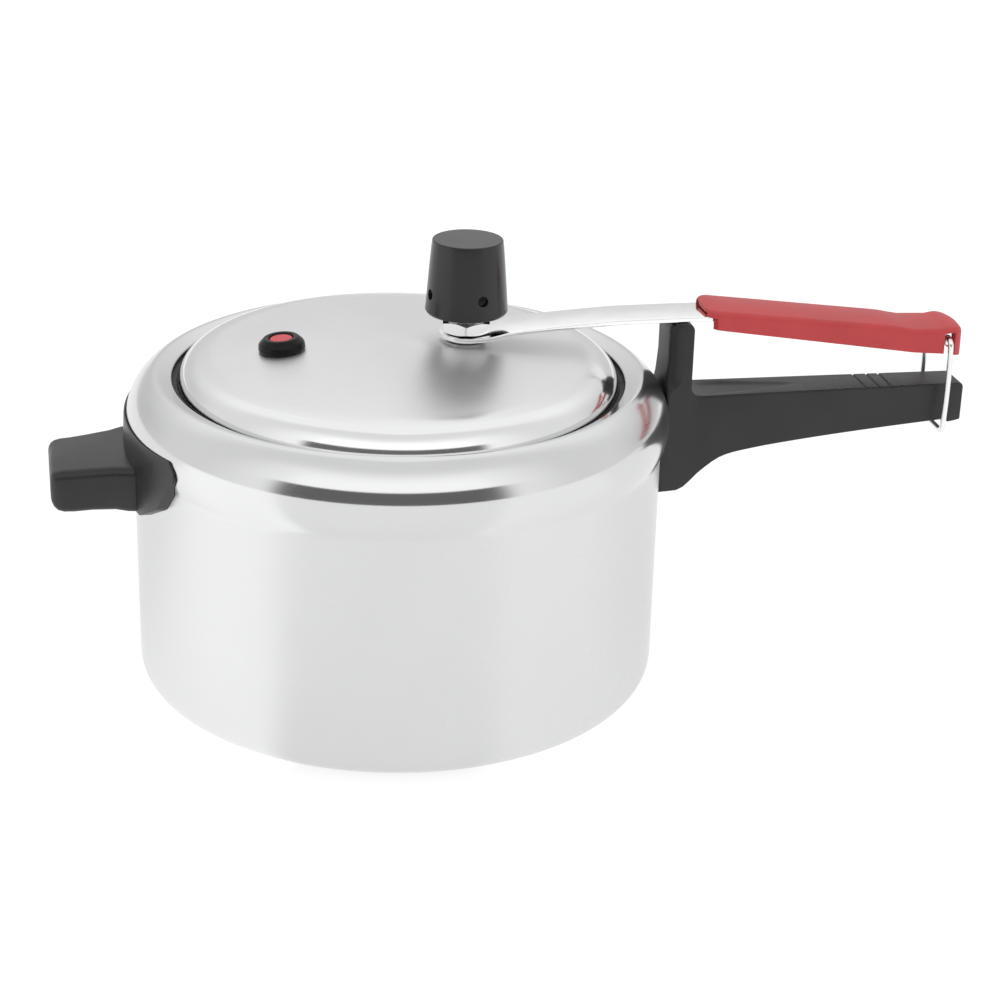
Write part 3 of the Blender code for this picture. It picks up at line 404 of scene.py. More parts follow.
class S:
    """A shader value. Arithmetic on it adds Math nodes, and node() adds any other node."""

    def __init__(self, tree, socket):
        self.tree = tree
        self.socket = socket

    def node(self, kind, settings=None, values=None, out=0):
        made = self.tree.nodes.new(kind)
        for key, value in (settings or {}).items():
            setattr(made, key, value)
        for key, value in (values or {}).items():
            if isinstance(value, S):
                self.tree.links.new(value.socket, made.inputs[key])
            else:
                made.inputs[key].default_value = value
        return S(self.tree, made.outputs[out])

    def math(self, operation, *others):
        return self.node("ShaderNodeMath", {"operation": operation}, dict(enumerate((self, *others))))

    def __add__(self, other):
        return self.math("ADD", other)

    def __radd__(self, other):
        return self + other

    def __sub__(self, other):
        return self.math("SUBTRACT", other)

    def __rsub__(self, other):
        return self * -1 + other

    def __mul__(self, other):
        return self.math("MULTIPLY", other)

    def __truediv__(self, other):
        return self.math("DIVIDE", other)

    def between(self, low, high):
        """0 below low, 1 above high, smooth between; the other way round where low is the larger."""
        settings = {"interpolation_type": "SMOOTHSTEP"}
        if low < high:
            values = {"Value": self, "From Min": low, "From Max": high}
            return self.node("ShaderNodeMapRange", settings, values)
        return 1 - self.between(high, low)

    def scaled(self, x, y, z):
        return self.node("ShaderNodeVectorMath", {"operation": "MULTIPLY"}, {0: self, 1: (x, y, z)})

    def axes(self):
        split = self.tree.nodes.new("ShaderNodeSeparateXYZ")
        self.tree.links.new(self.socket, split.inputs[0])
        return [S(self.tree, split.outputs[i]) for i in range(3)]

    def noise(self, scale, detail=2, roughness=0.5):
        return self.node("ShaderNodeTexNoise", {}, {"Vector": self, "Scale": scale, "Detail": detail,
                                                    "Roughness": roughness})

    def mix(self, first, second):
        """This value mixes two colours."""
        values = {0: self, 6: (*first, 1), 7: (*second, 1)}
        return self.node("ShaderNodeMix", {"data_type": "RGBA"}, values, 2)


class Finish:
    """A material in the making: its shader and the object's own coordinates in millimetres."""

    def __init__(self, name, **sockets):
        self.material = bpy.data.materials.new(name)
        self.material.use_nodes = True
        self.tree = self.material.node_tree
        self.shader = self.tree.nodes["Principled BSDF"]
        for key, value in sockets.items():
            self.shader.inputs[key.replace("_", " ")].default_value = value
        metres = S(self.tree, self.tree.nodes.new("ShaderNodeTexCoord").outputs["Object"])
        self.here = metres.scaled(1 / MM, 1 / MM, 1 / MM)

    def feed(self, socket, value):
        self.tree.links.new(value.socket, self.shader.inputs[socket])

    def bump(self, height, depth):
        """Raises the surface by a height from 0 to 1 times a depth in millimetres."""
        values = {"Height": height, "Distance": depth * MM, "Strength": 1.0}
        self.feed("Normal", height.node("ShaderNodeBump", {}, values))

    def round_place(self):
        """Coordinates that run with the turning: distance from the axis, height, and a slow third."""
        x, y, z = self.here.axes()
        radius = (x * x + y * y).math("SQRT")
        return x.node("ShaderNodeCombineXYZ", {}, {0: radius, 1: z, 2: x.math("ARCTAN2", y)})


def buff(finish, colour, dull, lines):
    """Buffed aluminium: turning lines, hazy patches and hairline scuffs, over a roughness that varies."""
    haze = finish.here.noise(0.03, 3, 0.55)
    grain = finish.round_place().scaled(1, 1, 0.3).noise(2.2, 3, 0.6)
    scuffs = finish.here.scaled(0.25, 0.9, 0.5).noise(0.9, 2, 0.4).between(0.66, 0.74)
    finish.feed("Roughness", dull + haze.between(0.3, 0.7) * 0.03 + grain * 0.02 + scuffs * 0.03)
    darker = tuple(c * 0.965 for c in colour)
    finish.feed("Base Color", (haze * 0.7 + grain * 0.3).between(0.25, 0.75).mix(darker, colour))
    finish.bump(grain + haze * 0.5, lines)
    return finish.material


def pot_polish(name, colour):
    """Pot's aluminium: bright on the shoulder and rim, brushed round the straight wall."""
    finish = Finish(name, Metallic=1.0, Anisotropic=0.85)
    z = finish.here.axes()[2]
    brushed = z.between(STEP_Z + 5, STEP_Z - 2)
    return buff(finish, colour, brushed * 0.12 + 0.1, 0.0006)


def lid_polish(name, colour):
    """Lid's aluminium: a soft satin on the dome, bright where it rolls over into the skirt."""
    finish = Finish(name, Metallic=1.0, Anisotropic=0.4)
    x, y, z = finish.here.axes()
    satin = (x * x + y * y).math("SQRT").between(DOME_R - 1, DOME_R - 9)
    return buff(finish, colour, satin * 0.28 + 0.08, 0.0004)


def plated_metal(name, colour, low, high):
    """Bright plated steel with a fine drawn grain and dulled patches."""
    finish = Finish(name, Metallic=1.0)
    grain = finish.here.scaled(0.15, 1, 1).noise(3.5, 3, 0.6)
    haze = finish.here.noise(0.12, 3)
    finish.feed("Roughness", haze.between(0.3, 0.75) * (high - low) + low + grain * 0.03)
    darker = tuple(c * 0.93 for c in colour)
    finish.feed("Base Color", (haze * 0.6 + grain * 0.4).between(0.3, 0.7).mix(darker, colour))
    finish.bump(grain, 0.002)
    return finish.material


def moulded_black(name, roughness, pebble, colour=(0.012, 0.012, 0.013)):
    """Moulded phenolic: a fine pebbled skin, slightly polished where hands rub it."""
    finish = Finish(name, Specular_IOR_Level=0.42)
    fine = finish.here.noise(2.6, 4, 0.6)
    wear = finish.here.noise(0.05, 3)
    speck = finish.here.noise(1.4, 2, 0.5).between(0.6, 0.72)
    lighter = tuple(c * 1.5 for c in colour)
    finish.feed("Base Color", (wear * 0.6 + fine * 0.4).between(0.3, 0.7).mix(colour, lighter))
    finish.feed("Roughness", roughness + wear.between(0.3, 0.7) * 0.07 - speck * 0.08 + fine * 0.04)
    finish.bump(fine + speck * 0.3, pebble)
    return finish.material


def handle_black(name):
    """The long handle's phenolic, with a coarse stipple on the patch where the fingers close."""
    finish = Finish(name, Specular_IOR_Level=0.4)
    x, y, z = finish.here.axes()
    fine = finish.here.noise(2.6, 4, 0.6)
    wear = finish.here.noise(0.05, 3)
    patch = x.between(*STIPPLE_START) * x.between(*STIPPLE_END) * z.between(HANDLE_Z - 2.2, HANDLE_Z - 1.2)
    cell_values = {"Vector": finish.here, "Scale": 1.1, "Randomness": 0.9}
    cells = finish.here.node("ShaderNodeTexVoronoi", {}, cell_values)
    stipple = cells.between(0.55, 0.15) * patch
    colour = (wear * 0.6 + fine * 0.4).between(0.3, 0.7)
    finish.feed("Base Color", colour.mix((0.012, 0.012, 0.013), (0.02, 0.02, 0.021)))
    finish.feed("Roughness", 0.36 + wear.between(0.3, 0.7) * 0.06 - stipple * 0.1 + fine * 0.04)
    finish.bump(fine * 0.16 + stipple, 0.12)
    return finish.material


def red_moulding(name):
    """Red thermoplastic with a soft satin skin and a cloudy, uneven tone."""
    finish = Finish(name)
    fine = finish.here.noise(3.0, 3, 0.6)
    cloud = finish.here.noise(0.06, 3)
    tone = (cloud * 0.7 + fine * 0.3).between(0.3, 0.7)
    finish.feed("Base Color", tone.mix((0.47, 0.035, 0.04), (0.54, 0.045, 0.05)))
    finish.feed("Roughness", 0.43 + cloud.between(0.3, 0.7) * 0.06 + fine * 0.05)
    finish.bump(fine, 0.02)
    return finish.material


def soft_rubber(name, colour, roughness, gloss=0.5):
    """Rubber or silicone with a dusty bloom and a slightly uneven skin."""
    finish = Finish(name, Specular_IOR_Level=gloss)
    bloom = finish.here.noise(0.35, 4, 0.6)
    fine = finish.here.noise(3.2, 3, 0.6)
    finish.feed("Base Color", bloom.between(0.35, 0.75).mix(colour, tuple(c * 1.3 + 0.002 for c in colour)))
    finish.feed("Roughness", roughness + bloom.between(0.3, 0.7) * 0.12 + fine * 0.05)
    finish.bump(fine + bloom * 0.6, 0.02)
    return finish.material


POT_METAL = pot_polish("pot_polish", (0.68, 0.682, 0.687))
LID_METAL = lid_polish("lid_polish", (0.77, 0.772, 0.776))
STEEL = plated_metal("bright_plate", (0.95, 0.95, 0.95), 0.08, 0.16)
WIRE = plated_metal("bail_plate", (0.86, 0.86, 0.86), 0.14, 0.24)
BRASS = plated_metal("nickelled_brass", (0.8, 0.77, 0.7), 0.16, 0.28)
RIVET = plated_metal("rivet_aluminium", (0.83, 0.83, 0.83), 0.3, 0.42)
SCREW = plated_metal("screw_zinc", (0.72, 0.73, 0.75), 0.25, 0.38)
SPRING = plated_metal("clip_wire", (0.6, 0.6, 0.62), 0.22, 0.32)
CORE = plated_metal("weight_core_steel", (0.62, 0.62, 0.64), 0.28, 0.4)
HANDLE_BLACK = handle_black("long_handle_phenolic")
GRIP_BLACK = moulded_black("short_handle_phenolic", 0.3, 0.05)
WEIGHT_BLACK = moulded_black("weight_phenolic", 0.2, 0.008, (0.011, 0.011, 0.012))
GASKET_BLACK = soft_rubber("gasket_rubber", (0.012, 0.012, 0.012), 0.5)
VALVE_BLACK = soft_rubber("valve_rubber", (0.002, 0.002, 0.002), 0.25, 0.2)
SEAL_BLACK = soft_rubber("seal_rubber", (0.02, 0.02, 0.02), 0.55)
PIN_RED = soft_rubber("button_silicone", (0.56, 0.06, 0.075), 0.42)
SLEEVE_RED = red_moulding("sleeve_red")


# ---------------------------------------------------------------- pot and lid


def make_pot():
    """Drawn pot: rounded base, straight wall, stepped-out bulged shoulder and a land down to the lip."""
    edge = 90 + LAND_SLOPE
    lean = radians(edge)
    fillet_c = WALL_R - BASE_FILLET
    line = Outline(0, 0.6).to(70, 0.6).to(72, 0).to(fillet_c, 0).turn(fillet_c, BASE_FILLET, 90)
    for z in (25, 45, 65, 85):
        line.to(WALL_R, z)
    line.to(WALL_R, STEP_Z).turn(WALL_R + STEP_R, STEP_Z, -STEP_TURN)
    line.turn(SHOULDER_C, SHOULDER_Z, STEP_TURN + SHOULDER_TURN)
    line.turn(CREST_C, CREST_Z, edge - SHOULDER_TURN)
    line.to(LIP_C + LIP_R * cos(lean), LIP_Z + LIP_R * sin(lean)).turn(LIP_C, LIP_Z, 180)
    inner = CREST_R - WALL_T
    line.to(CREST_C + inner * cos(lean), CREST_Z + inner * sin(lean))
    line.turn(CREST_C, CREST_Z, SHOULDER_TURN - edge)
    line.turn(SHOULDER_C, SHOULDER_Z, -STEP_TURN - SHOULDER_TURN)
    line.turn(WALL_R + STEP_R, STEP_Z, STEP_TURN)
    line.to(WALL_R - WALL_T, BASE_FILLET).turn(fillet_c, BASE_FILLET, -90)
    line.to(60, WALL_T).to(0, WALL_T)
    bm = lathe(line, RING_STEPS)
    for vert in bm.verts:
        radius = hypot(vert.co.x, vert.co.y)
        if vert.co.z > SHOULDER_Z and radius < CREST_C:
            vert.co.y *= 1 + OVAL * (CREST_C - radius) / (CREST_C - MOUTH_R) / radius
    piece("polished_pot", bm, POT_METAL, "pot", "pot_aluminium", "pot_body")


def dome_z(radius):
    return LID_TOP - DOME_RISE * (radius / DOME_R) ** 2


def oval(bm):
    bmesh.ops.scale(bm, vec=(1, OVAL_SHARE, 1), verts=bm.verts)
    return bm


def vent_seat(bm):
    """Presses the flat seat for the vent pipe into the dome."""
    seat = dome_z(VENT_X - 8.5)
    for vert in bm.verts:
        away = hypot(vert.co.x - VENT_X, vert.co.y)
        share = 1 - blend((away - 8.6) / 3.4)
        on_top = vert.co.z > dome_z(hypot(vert.co.x, vert.co.y)) - LID_T / 2
        level = seat if on_top else seat - LID_T
        vert.co.z += (level - vert.co.z) * share


def make_lid():
    """Lid shell: a shallow dome rolled over into a steep skirt, with the flange that carries the gasket."""
    rings = [1.5 * i for i in range(1, 51)]
    line = Outline(0, LID_TOP)
    for radius in rings:
        line.to(radius, dome_z(radius))
    inner = LID_WALL_R - LID_T
    corners = [(rings[-1], dome_z(rings[-1]), 0), (LID_WALL_R - 2.9, dome_z(LID_WALL_R - 2.9), 10.5),
               (LID_WALL_R, GASKET_TOP + 0.6, 0.6), (LID_WALL_R, FLANGE_TOP, 0.6),
               (FLANGE_R, FLANGE_TOP, 0.5), (FLANGE_R, FLANGE_TOP - LID_T, 0.5),
               (inner, FLANGE_TOP - LID_T, 0.6), (inner, GASKET_TOP, 3),
               (DOME_R - 1, dome_z(DOME_R) - LID_T, 9), (72, dome_z(72) - LID_T, 0)]
    line.through(corners)
    for radius in (60, 48, 39, 36, 30, 24, 18, 12, 6):
        line.to(radius, dome_z(radius) - LID_T)
    line.to(0, LID_TOP - LID_T)
    bm = lathe(line, RING_STEPS)
    vent_seat(bm)
    piece("domed_lid", oval(bm), LID_METAL, "lid_and_lever", "lid_aluminium", "lid_shell")


def make_gasket():
    """Moulded ring that wraps the lid's flange, with a rounded sealing lip."""
    wrap = FLANGE_TOP + GAP
    under = FLANGE_TOP - LID_T - GAP
    inner = LID_WALL_R + 0.1
    corners = [(inner, wrap, 0), (inner, GASKET_TOP, 0.4), (GASKET_R, GASKET_TOP, 1.2),
               (GASKET_R, GASKET_LOW, 0.8), (LID_WALL_R, GASKET_LOW, 0.5), (LID_WALL_R, under, 0.2),
               (FLANGE_R + GAP, under, 0.3), (FLANGE_R + GAP, wrap, 0.3)]
    line = Outline(inner, wrap).through(corners, closed=True)
    bm = oval(lathe(line, RING_STEPS))
    piece("sealing_ring", bm, GASKET_BLACK, "lid_and_lever", "gasket_rubber", "lid_gasket")


# ---------------------------------------------------------------- vent, nut and weight


def make_vent():
    """Vent pipe: a flanged, threaded shank and a nozzle with a rounded, bored tip and a clip groove."""
    flange_z = PIPE_LOW.z
    flange_top = flange_z + 2.2
    flange_r = 9
    shank_top = NUT_HIGH.z + 0.9
    tip = PIPE_HIGH.z
    corners = [(VENT_BORE_R, flange_z, 0), (flange_r, flange_z, 0.5), (flange_r, flange_top, 0.4),
               (PIPE_R, flange_top, 0)]
    for k in range(int((shank_top - flange_z - 3.4) / THREAD_PITCH)):
        z = flange_z + 3 + k * THREAD_PITCH
        corners += [(PIPE_R, z, 0), (PIPE_R - THREAD_DEPTH, z + THREAD_PITCH / 2, 0)]
    groove = shank_top + 3.6
    corners += [(PIPE_R - 0.3, shank_top, 0.3), (NOZZLE_R, shank_top + 1, 0.3), (NOZZLE_R, groove, 0.1),
                (NOZZLE_R - 0.45, groove + 0.4, 0.2), (NOZZLE_R - 0.45, groove + 0.9, 0.2),
                (NOZZLE_R, groove + 1.3, 0.1), (NOZZLE_R, tip, 1.3), (VENT_BORE_R, tip, 0.3),
                (VENT_BORE_R, flange_z, 0)]
    line = Outline(*corners[0][:2]).through(corners)
    piece("vent_nozzle", lathe(line, 48, VENT_X), BRASS, "lid_and_lever", "vent_brass", "vent_pipe")


def make_spacer():
    low, high = SPACER_LOW.z, SPACER_HIGH.z
    radius = (SPACER_HIGH.x - SPACER_LOW.x) / 2
    inner = PIPE_R + GAP
    corners = [(inner, low, 0), (radius, low, 0.2), (radius, high, 0.25), (inner, high, 0.15)]
    bm = lathe(Outline(inner, low).through(corners, closed=True), PART_STEPS, VENT_X)
    piece("lever_washer", bm, STEEL, "lid_and_lever", "plated_steel", "arm_spacer")


def make_nut():
    """Hex nut, its corners turned off to a round face at the top and the foot."""
    flat = NUT_FLATS / 2
    low, high = NUT_LOW.z, NUT_HIGH.z
    steps = 120
    hole = PIPE_R + 0.05

    def ring(radius, z, hexed=0.0, fall=0.0):
        points = []
        for i in range(steps):
            a = 2 * pi * i / steps
            across = flat / cos((a + NUT_TURN + pi / 6) % (pi / 3) - pi / 6)
            away = radius + (across - radius) * hexed
            points.append((VENT_X + away * cos(a), away * sin(a), z + fall * max(0, away - flat * 0.97)))
        return points

    face = flat * 0.95
    sections = [ring(hole, low + 0.4), ring(hole + 0.5, low), ring(face, low), ring(flat, low, 1, 0.5),
                ring(flat, high, 1, -0.5), ring(face, high), ring(hole + 0.5, high), ring(hole, high - 0.4)]
    bm = skin(sections, caps=False)
    loops = [e for e in bm.edges if e.is_boundary]
    bmesh.ops.bridge_loops(bm, edges=loops)
    piece("hex_nut", bm, STEEL, "lid_and_lever", "plated_steel", "lever_nut", sharp=24)


def make_weight():
    """Regulator weight's cap: tapered and slightly bowed, with four steam holes and a hollow foot."""
    low, high = WEIGHT_LOW.z, WEIGHT_HIGH.z
    tall = high - low
    side = []
    for share in (0.9, 0.75, 0.6, 0.45, 0.3, 0.18, 0.1):
        bow = (1 - share) ** 0.86
        side.append((WEIGHT_TOP_R + (WEIGHT_FOOT_R - WEIGHT_TOP_R) * bow, low + tall * share, 0))
    inner = WEIGHT_FOOT_R - 2.4
    hall = low + STEAM_HOLE_Z + STEAM_HOLE_R + 1
    core_r = 9.1
    core_top = high - 2.7
    corners = [(0, high, 0), (WEIGHT_TOP_R - 1.2, high, 0), (WEIGHT_TOP_R, high, 0.6)] + side
    corners += [(WEIGHT_FOOT_R, low + 1.2, 0.6), (WEIGHT_FOOT_R - 0.7, low, 0.5), (inner, low, 0.5),
                (inner - 1, hall, 1), (core_r, hall, 0), (core_r, core_top, 0), (0, core_top, 0)]
    line = Outline(0, high).through(corners)
    bm = lathe(line, 144, VENT_X)
    bmesh.ops.recalc_face_normals(bm, faces=bm.faces)
    centre = Vector((VENT_X, 0, low + STEAM_HOLE_Z))
    for k in range(4):
        turn = radians(STEAM_HOLE_TURN + 90 * k)
        out = Vector((cos(turn), sin(turn), 0))
        bm = combine(bm, rod(STEAM_HOLE_R, centre + out * 11, centre + out * 20, 40))
    piece("weight_shell", bm, WEIGHT_BLACK, "weight", "weight_plastic", "weight_cap", sharp=28)


# ---------------------------------------------------------------- safety valve


def stand_on_dome(bm):
    """Tilts a shape made round the Z axis so that it stands square on the dome at the safety valve."""
    lean = atan(2 * DOME_RISE * -SAFETY_X / DOME_R**2)
    matrix = Matrix.Translation((SAFETY_X, 0, dome_z(SAFETY_X))) @ Matrix.Rotation(-lean, 4, "Y")
    bmesh.ops.transform(bm, matrix=matrix, verts=bm.verts)
    return bm


def make_safety_valve():
    """Safety valve: a plump rubber ring on the lid round a shallow red button."""
    stem = 5.5
    low = -LID_T - GAP - 3.2
    bore = BUTTON_R + 0.15
    recess = SAFETY_H - 1.8
    corners = [(stem, low, 0.4), (stem, 0.1, 0), (SAFETY_R - 0.3, 0.1, 0.3), (SAFETY_R, 1.0, 0.6),
               (SAFETY_R - 0.2, 3.2, 2.4), (SAFETY_R - 2.6, SAFETY_H, 1.6), (bore, SAFETY_H - 0.1, 0.7),
               (bore, recess, 0), (2.3, recess, 0), (2.3, low, 0.2)]
    line = Outline(stem, low + 0.6).through(corners, closed=True)
    piece("valve_ring", stand_on_dome(lathe(line, 96)), VALVE_BLACK, "lid_and_lever", "valve_rubber",
          "safety_valve_body")
    crown = SAFETY_H - 0.25
    pin_low = low - 3.6
    pin_r, barb_r, barb_low = 2, 3, pin_low - 1.2
    corners = [(0, crown, 0), (BUTTON_R - 0.05, crown - 0.25, 0.8), (BUTTON_R - 0.05, recess + GAP, 0.2),
               (pin_r, recess + GAP, 0.3), (pin_r, pin_low, 0.1), (barb_r, pin_low, 0.3),
               (barb_r, barb_low, 0.3), (0, barb_low, 0)]
    bm = lathe(Outline(0, crown).through(corners), PART_STEPS)
    piece("red_button", stand_on_dome(bm), PIN_RED, "pin", "red_silicone", "safety_pin")


# ---------------------------------------------------------------- lever arm, sleeve and bail


def arm_low(x):
    """Underside of the lever arm: flat on the lid, arched to the post, then falling to the bail."""
    span = POST_X - VENT_X
    shares = [(0.08, 0), (0.19, 0.33), (0.34, 0.58), (0.52, 0.8), (0.7, 0.97), (0.88, 1), (1, 1)]
    points = [(VENT_X - ARM_END_R, 0)] + [(VENT_X + a * span, b * ARM_RISE) for a, b in shares]
    fall_start = POST_X + 13
    points.append((fall_start, 0.98 * ARM_RISE))
    if x <= fall_start:
        return ARM_Z + curve_at(points, x)
    return ARM_Z + 0.98 * ARM_RISE - (x - fall_start) * ARM_FALL


def eye_centre():
    return Vector((BAIL_X, 0, arm_low(BAIL_X) + ARM_T / 2))


def make_arm():
    """Lever arm: one strip of bright steel, rounded at the vent and rolled into the bail's eye."""
    end = BAIL_X - 2.4
    tip = VENT_X - ARM_END_R
    neck = ARM_END_R - 0.35
    line = Outline(end, -ARM_HALF).to(end, ARM_HALF).to(VENT_X + 14, ARM_HALF).to(VENT_X + 6, neck)
    line.to(VENT_X, ARM_END_R).turn(VENT_X, 0, 180).to(VENT_X + 6, -neck).to(VENT_X + 14, -ARM_HALF).close()
    bm = slab(line, ARM_T / 2)
    rims = [e for e in bm.edges if abs(e.verts[0].co.y - e.verts[1].co.y) < MERGE]
    rim_bevel(bm, rims, 0.35, 3)
    bmesh.ops.rotate(bm, cent=(0, 0, 0), matrix=Matrix.Rotation(-pi / 2, 3, "X"), verts=bm.verts)
    slice_at(bm, [tip + 3 + 2.5 * i for i in range(int((end - tip - 4) / 2.5))], 0)
    for vert in bm.verts:
        vert.co.z += arm_low(vert.co.x) + ARM_T / 2
    bm = combine(bm, rod(PIPE_R + 0.1, (VENT_X, 0, ARM_Z - 5), (VENT_X, 0, ARM_Z + 7)))
    eye = eye_centre()
    round_eye, inside = 325, 1.5
    stop = radians(round_eye)
    roll = Outline(2.9, 0).turn(0, 0, round_eye).to(inside * cos(stop), inside * sin(stop))
    roll.turn(0, 0, -round_eye).close()
    eye_bm = slab(roll, ARM_HALF)
    bmesh.ops.translate(eye_bm, vec=eye, verts=eye_bm.verts)
    piece("lever_strip", merge_in(bm, eye_bm), STEEL, "lid_and_lever", "spring_steel", "lever_arm")


def sleeve_top(x):
    """Height of the sleeve's side crease: it falls evenly, dips, and humps up just before its end."""
    swell = 1.5 * sin(pi * min(max((x - BAIL_X + 6) / 19, 0), 1))
    dip = 0.9 * sin(pi * min(max((x - BAIL_X + 25) / 26, 0), 1))
    return arm_low(x) + ARM_T + 3.1 + swell - dip


def sleeve_low(x):
    return arm_low(x) - 2.6 - 0.034 * (x - SLEEVE_LOW.x) + 0.9 * blend((x - BAIL_X + 14) / 12)


def make_sleeve():
    """Red grip: a moulded channel over the arm, with a tongue at the front and notches for the bail."""
    start, end = SLEEVE_LOW.x, SLEEVE_HIGH.x
    walls = start + 3.6
    notch = (BAIL_X - 2.2, BAIL_X + 2.6)
    corner = 2.3
    stations = [start + d for d in (0.02, 0.2, 0.6, 1.2, 2.0, 2.8, 3.55, 3.65, 5, 7, 10, 14)]
    stations += [start + 14 + 4 * i for i in range(1, 20)]
    stations = [x for x in stations if x < notch[0] - 2]
    stations += [notch[0] + d for d in (-1, 0, 1.6, 3.2)] + [notch[1]]
    stations += [end - d for d in (2.6, 1.7, 1, 0.5, 0.2, 0)]
    sections = []
    for x in stations:
        nose = min(1, (x - start) / 5)
        round_in = sqrt(max(0, 1 - (1 - nose) ** 2))
        tail = 1 - sqrt(max(0, 1 - max(0, (x - end + 5) / 5) ** 2))
        half = (SLEEVE_HALF - 0.4 * blend((x - start) / 90)) * (0.62 + 0.38 * round_in) - 4 * tail
        top = sleeve_top(x) - 0.5 * (1 - nose) - 0.6 * tail
        low = sleeve_low(x) if x > walls else top - 2.6 - 0.6 * nose
        crown = 0.7 * blend((x - start) / 6)
        side = [(half + 0.25 * (1 - t), low + (top - corner - low) * t) for t in (0, 0.3, 0.62, 0.8, 1)]
        over = [((half - corner) * (1 - t), top + crown * (1 - (1 - t) ** 2)) for t in (0.2, 0.45, 0.72)]
        right = side + arc((half - corner, top - corner), corner, corner, 0, 90, 6)[1:] + over
        points = right + [(0, top + crown)] + [(-y, z) for y, z in reversed(right)]
        sections.append([(x, y, z) for y, z in points])
    bm = skin(sections, closed=False, caps=False)
    last = [e for e in bm.edges if e.is_boundary and all(v.co.x > end - 0.01 for v in e.verts)]
    low_verts = [v for v in bm.verts if v.co.x > end - 0.01 and v.co.z < sleeve_low(end) + 0.01]
    last += bmesh.ops.contextual_create(bm, geom=low_verts)["edges"]
    bmesh.ops.contextual_create(bm, geom=last)
    gone = []
    for face in bm.faces:
        centre = face.calc_center_median()
        below = centre.z < sleeve_top(centre.x) - corner * 1.2
        if notch[0] < centre.x < notch[1] and below and len(face.verts) == 4:
            gone.append(face)
    bmesh.ops.delete(bm, geom=gone, context="FACES")
    bmesh.ops.recalc_face_normals(bm, faces=bm.faces)
    bmesh.ops.solidify(bm, geom=bm.faces[:], thickness=2.0)
    piece("red_grip", bm, SLEEVE_RED, "lid_and_lever", "red_plastic", "grip_sleeve", sharp=40)


def make_bail():
    """Wire bail: one loop of round wire, bent square at its corners, its legs bowed a little outward."""
    eye = eye_centre()
    half = BAIL_HIGH.y - WIRE_R
    drop = eye.z - BAIL_LOW.z - WIRE_R
    bend = 2.6
    steps = 18
    bm = bmesh.new()
    bmesh.ops.create_circle(bm, segments=16, radius=WIRE_R, matrix=Matrix.Rotation(pi / 2, 4, "X"))
    edges = bm.edges[:]

    def run(edges, vec, count=1):
        for _ in range(count):
            made = bmesh.ops.extrude_edge_only(bm, edges=edges)["geom"]
            verts = [g for g in made if isinstance(g, bmesh.types.BMVert)]
            bmesh.ops.translate(bm, vec=Vector(vec) / count, verts=verts)
            inside = set(verts)
            edges = [g for g in made if isinstance(g, bmesh.types.BMEdge) and set(g.verts) <= inside]
        return edges

    def swing(edges, centre):
        made = bmesh.ops.spin(bm, geom=edges, cent=centre, axis=(1, 0, 0), angle=-pi / 2, steps=6)
        return [g for g in made["geom_last"] if isinstance(g, bmesh.types.BMEdge)]

    inner = half - bend
    edges = run(edges, (0, inner, 0), 4)
    edges = swing(edges, (0, inner, -bend))
    edges = run(edges, (0, 0, -(drop - 2 * bend)), steps)
    edges = swing(edges, (0, inner, bend - drop))
    edges = run(edges, (0, -2 * inner, 0), 8)
    edges = swing(edges, (0, -inner, bend - drop))
    edges = run(edges, (0, 0, drop - 2 * bend), steps)
    edges = swing(edges, (0, -inner, -bend))
    run(edges, (0, inner, 0), 4)
    bmesh.ops.remove_doubles(bm, verts=bm.verts, dist=0.01)
    for vert in bm.verts:
        t = min(max(-vert.co.z / drop, 0), 1)
        vert.co.x += 0.5 * sin(pi * t)
    bmesh.ops.translate(bm, vec=eye, verts=bm.verts)
    piece("wire_bail", bm, WIRE, "bail", "bail_wire", "latch_bail")


# ---------------------------------------------------------------- handles


def handle_low(x):
    """Underside of the long handle: a deep root, a quick sweep up and a slow taper to the end."""
    points = [(0, 1), (9, 1), (13, 0.93), (19, 0.7), (28, 0.46), (40, 0.35), (0.46 * HANDLE_LENGTH, 0.24),
              (0.68 * HANDLE_LENGTH, 0.13), (HANDLE_LENGTH, 0)]
    return HANDLE_Z - HANDLE_THIN - (HANDLE_DEEP - HANDLE_THIN) * curve_at(points, x - WALL_R)


def handle_half(x, z):
    """Half-width of the long handle, from its flared root to its end, and of the post above it."""
    run = x - WALL_R
    grip = 10.8 + 2.2 * max(0, 1 - run / 16) - 3.2 * max(0, run - 16) / (HANDLE_LENGTH - 16)
    return grip + (POST_HALF - grip) * blend((z - HANDLE_Z + 4) / 14)


def handle_outline():
    """Side view of the long handle with its post."""
    root = WALL_R + 0.4
    low = handle_low(WALL_R)
    line = Outline(root, low + 3)
    corners = [(root, low + 3, 0), (root, low, 1.2), (root + 6, low, 0)]
    x = root + 9
    while x < HANDLE_END - 3:
        corners.append((x, handle_low(x), 0))
        x += 3
    post_end = POST_START + POST_LENGTH
    corners += [(HANDLE_END, handle_low(HANDLE_END), 1.6), (HANDLE_END, HANDLE_Z, 2.6),
                (post_end, HANDLE_Z, 4.2), (post_end, POST_TOP, 3.6), (POST_START, POST_TOP, 3.6),
                (POST_START, 134, 0), (POST_START - 0.9, 122, 2), (POST_START - 0.1, 116.5, 1),
                (POST_START - 0.1, 110, 1), (root + 1.6, 104.5, 0), (root, 99.5, 0)]
    return line.through(corners, closed=True)


def thumb_recess(x, y):
    """Depth of the spoon-shaped thumb rest sunk in the top, wide by the post and drawn to a point."""
    if not THUMB_START < x < THUMB_END:
        return 0
    run = min(max((x - THUMB_START - 8) / 37, 0), 1)
    half = THUMB_HALF * (1 - run) ** 0.8
    front = blend((x - THUMB_START - 2.5) / 4)
    return THUMB_DEPTH * front * blend((half + 1.4 - abs(y)) / 2.2) * (1 - 0.6 * run)


def on_post(face):
    return face.calc_center_median().x < POST_START + POST_LENGTH + 1


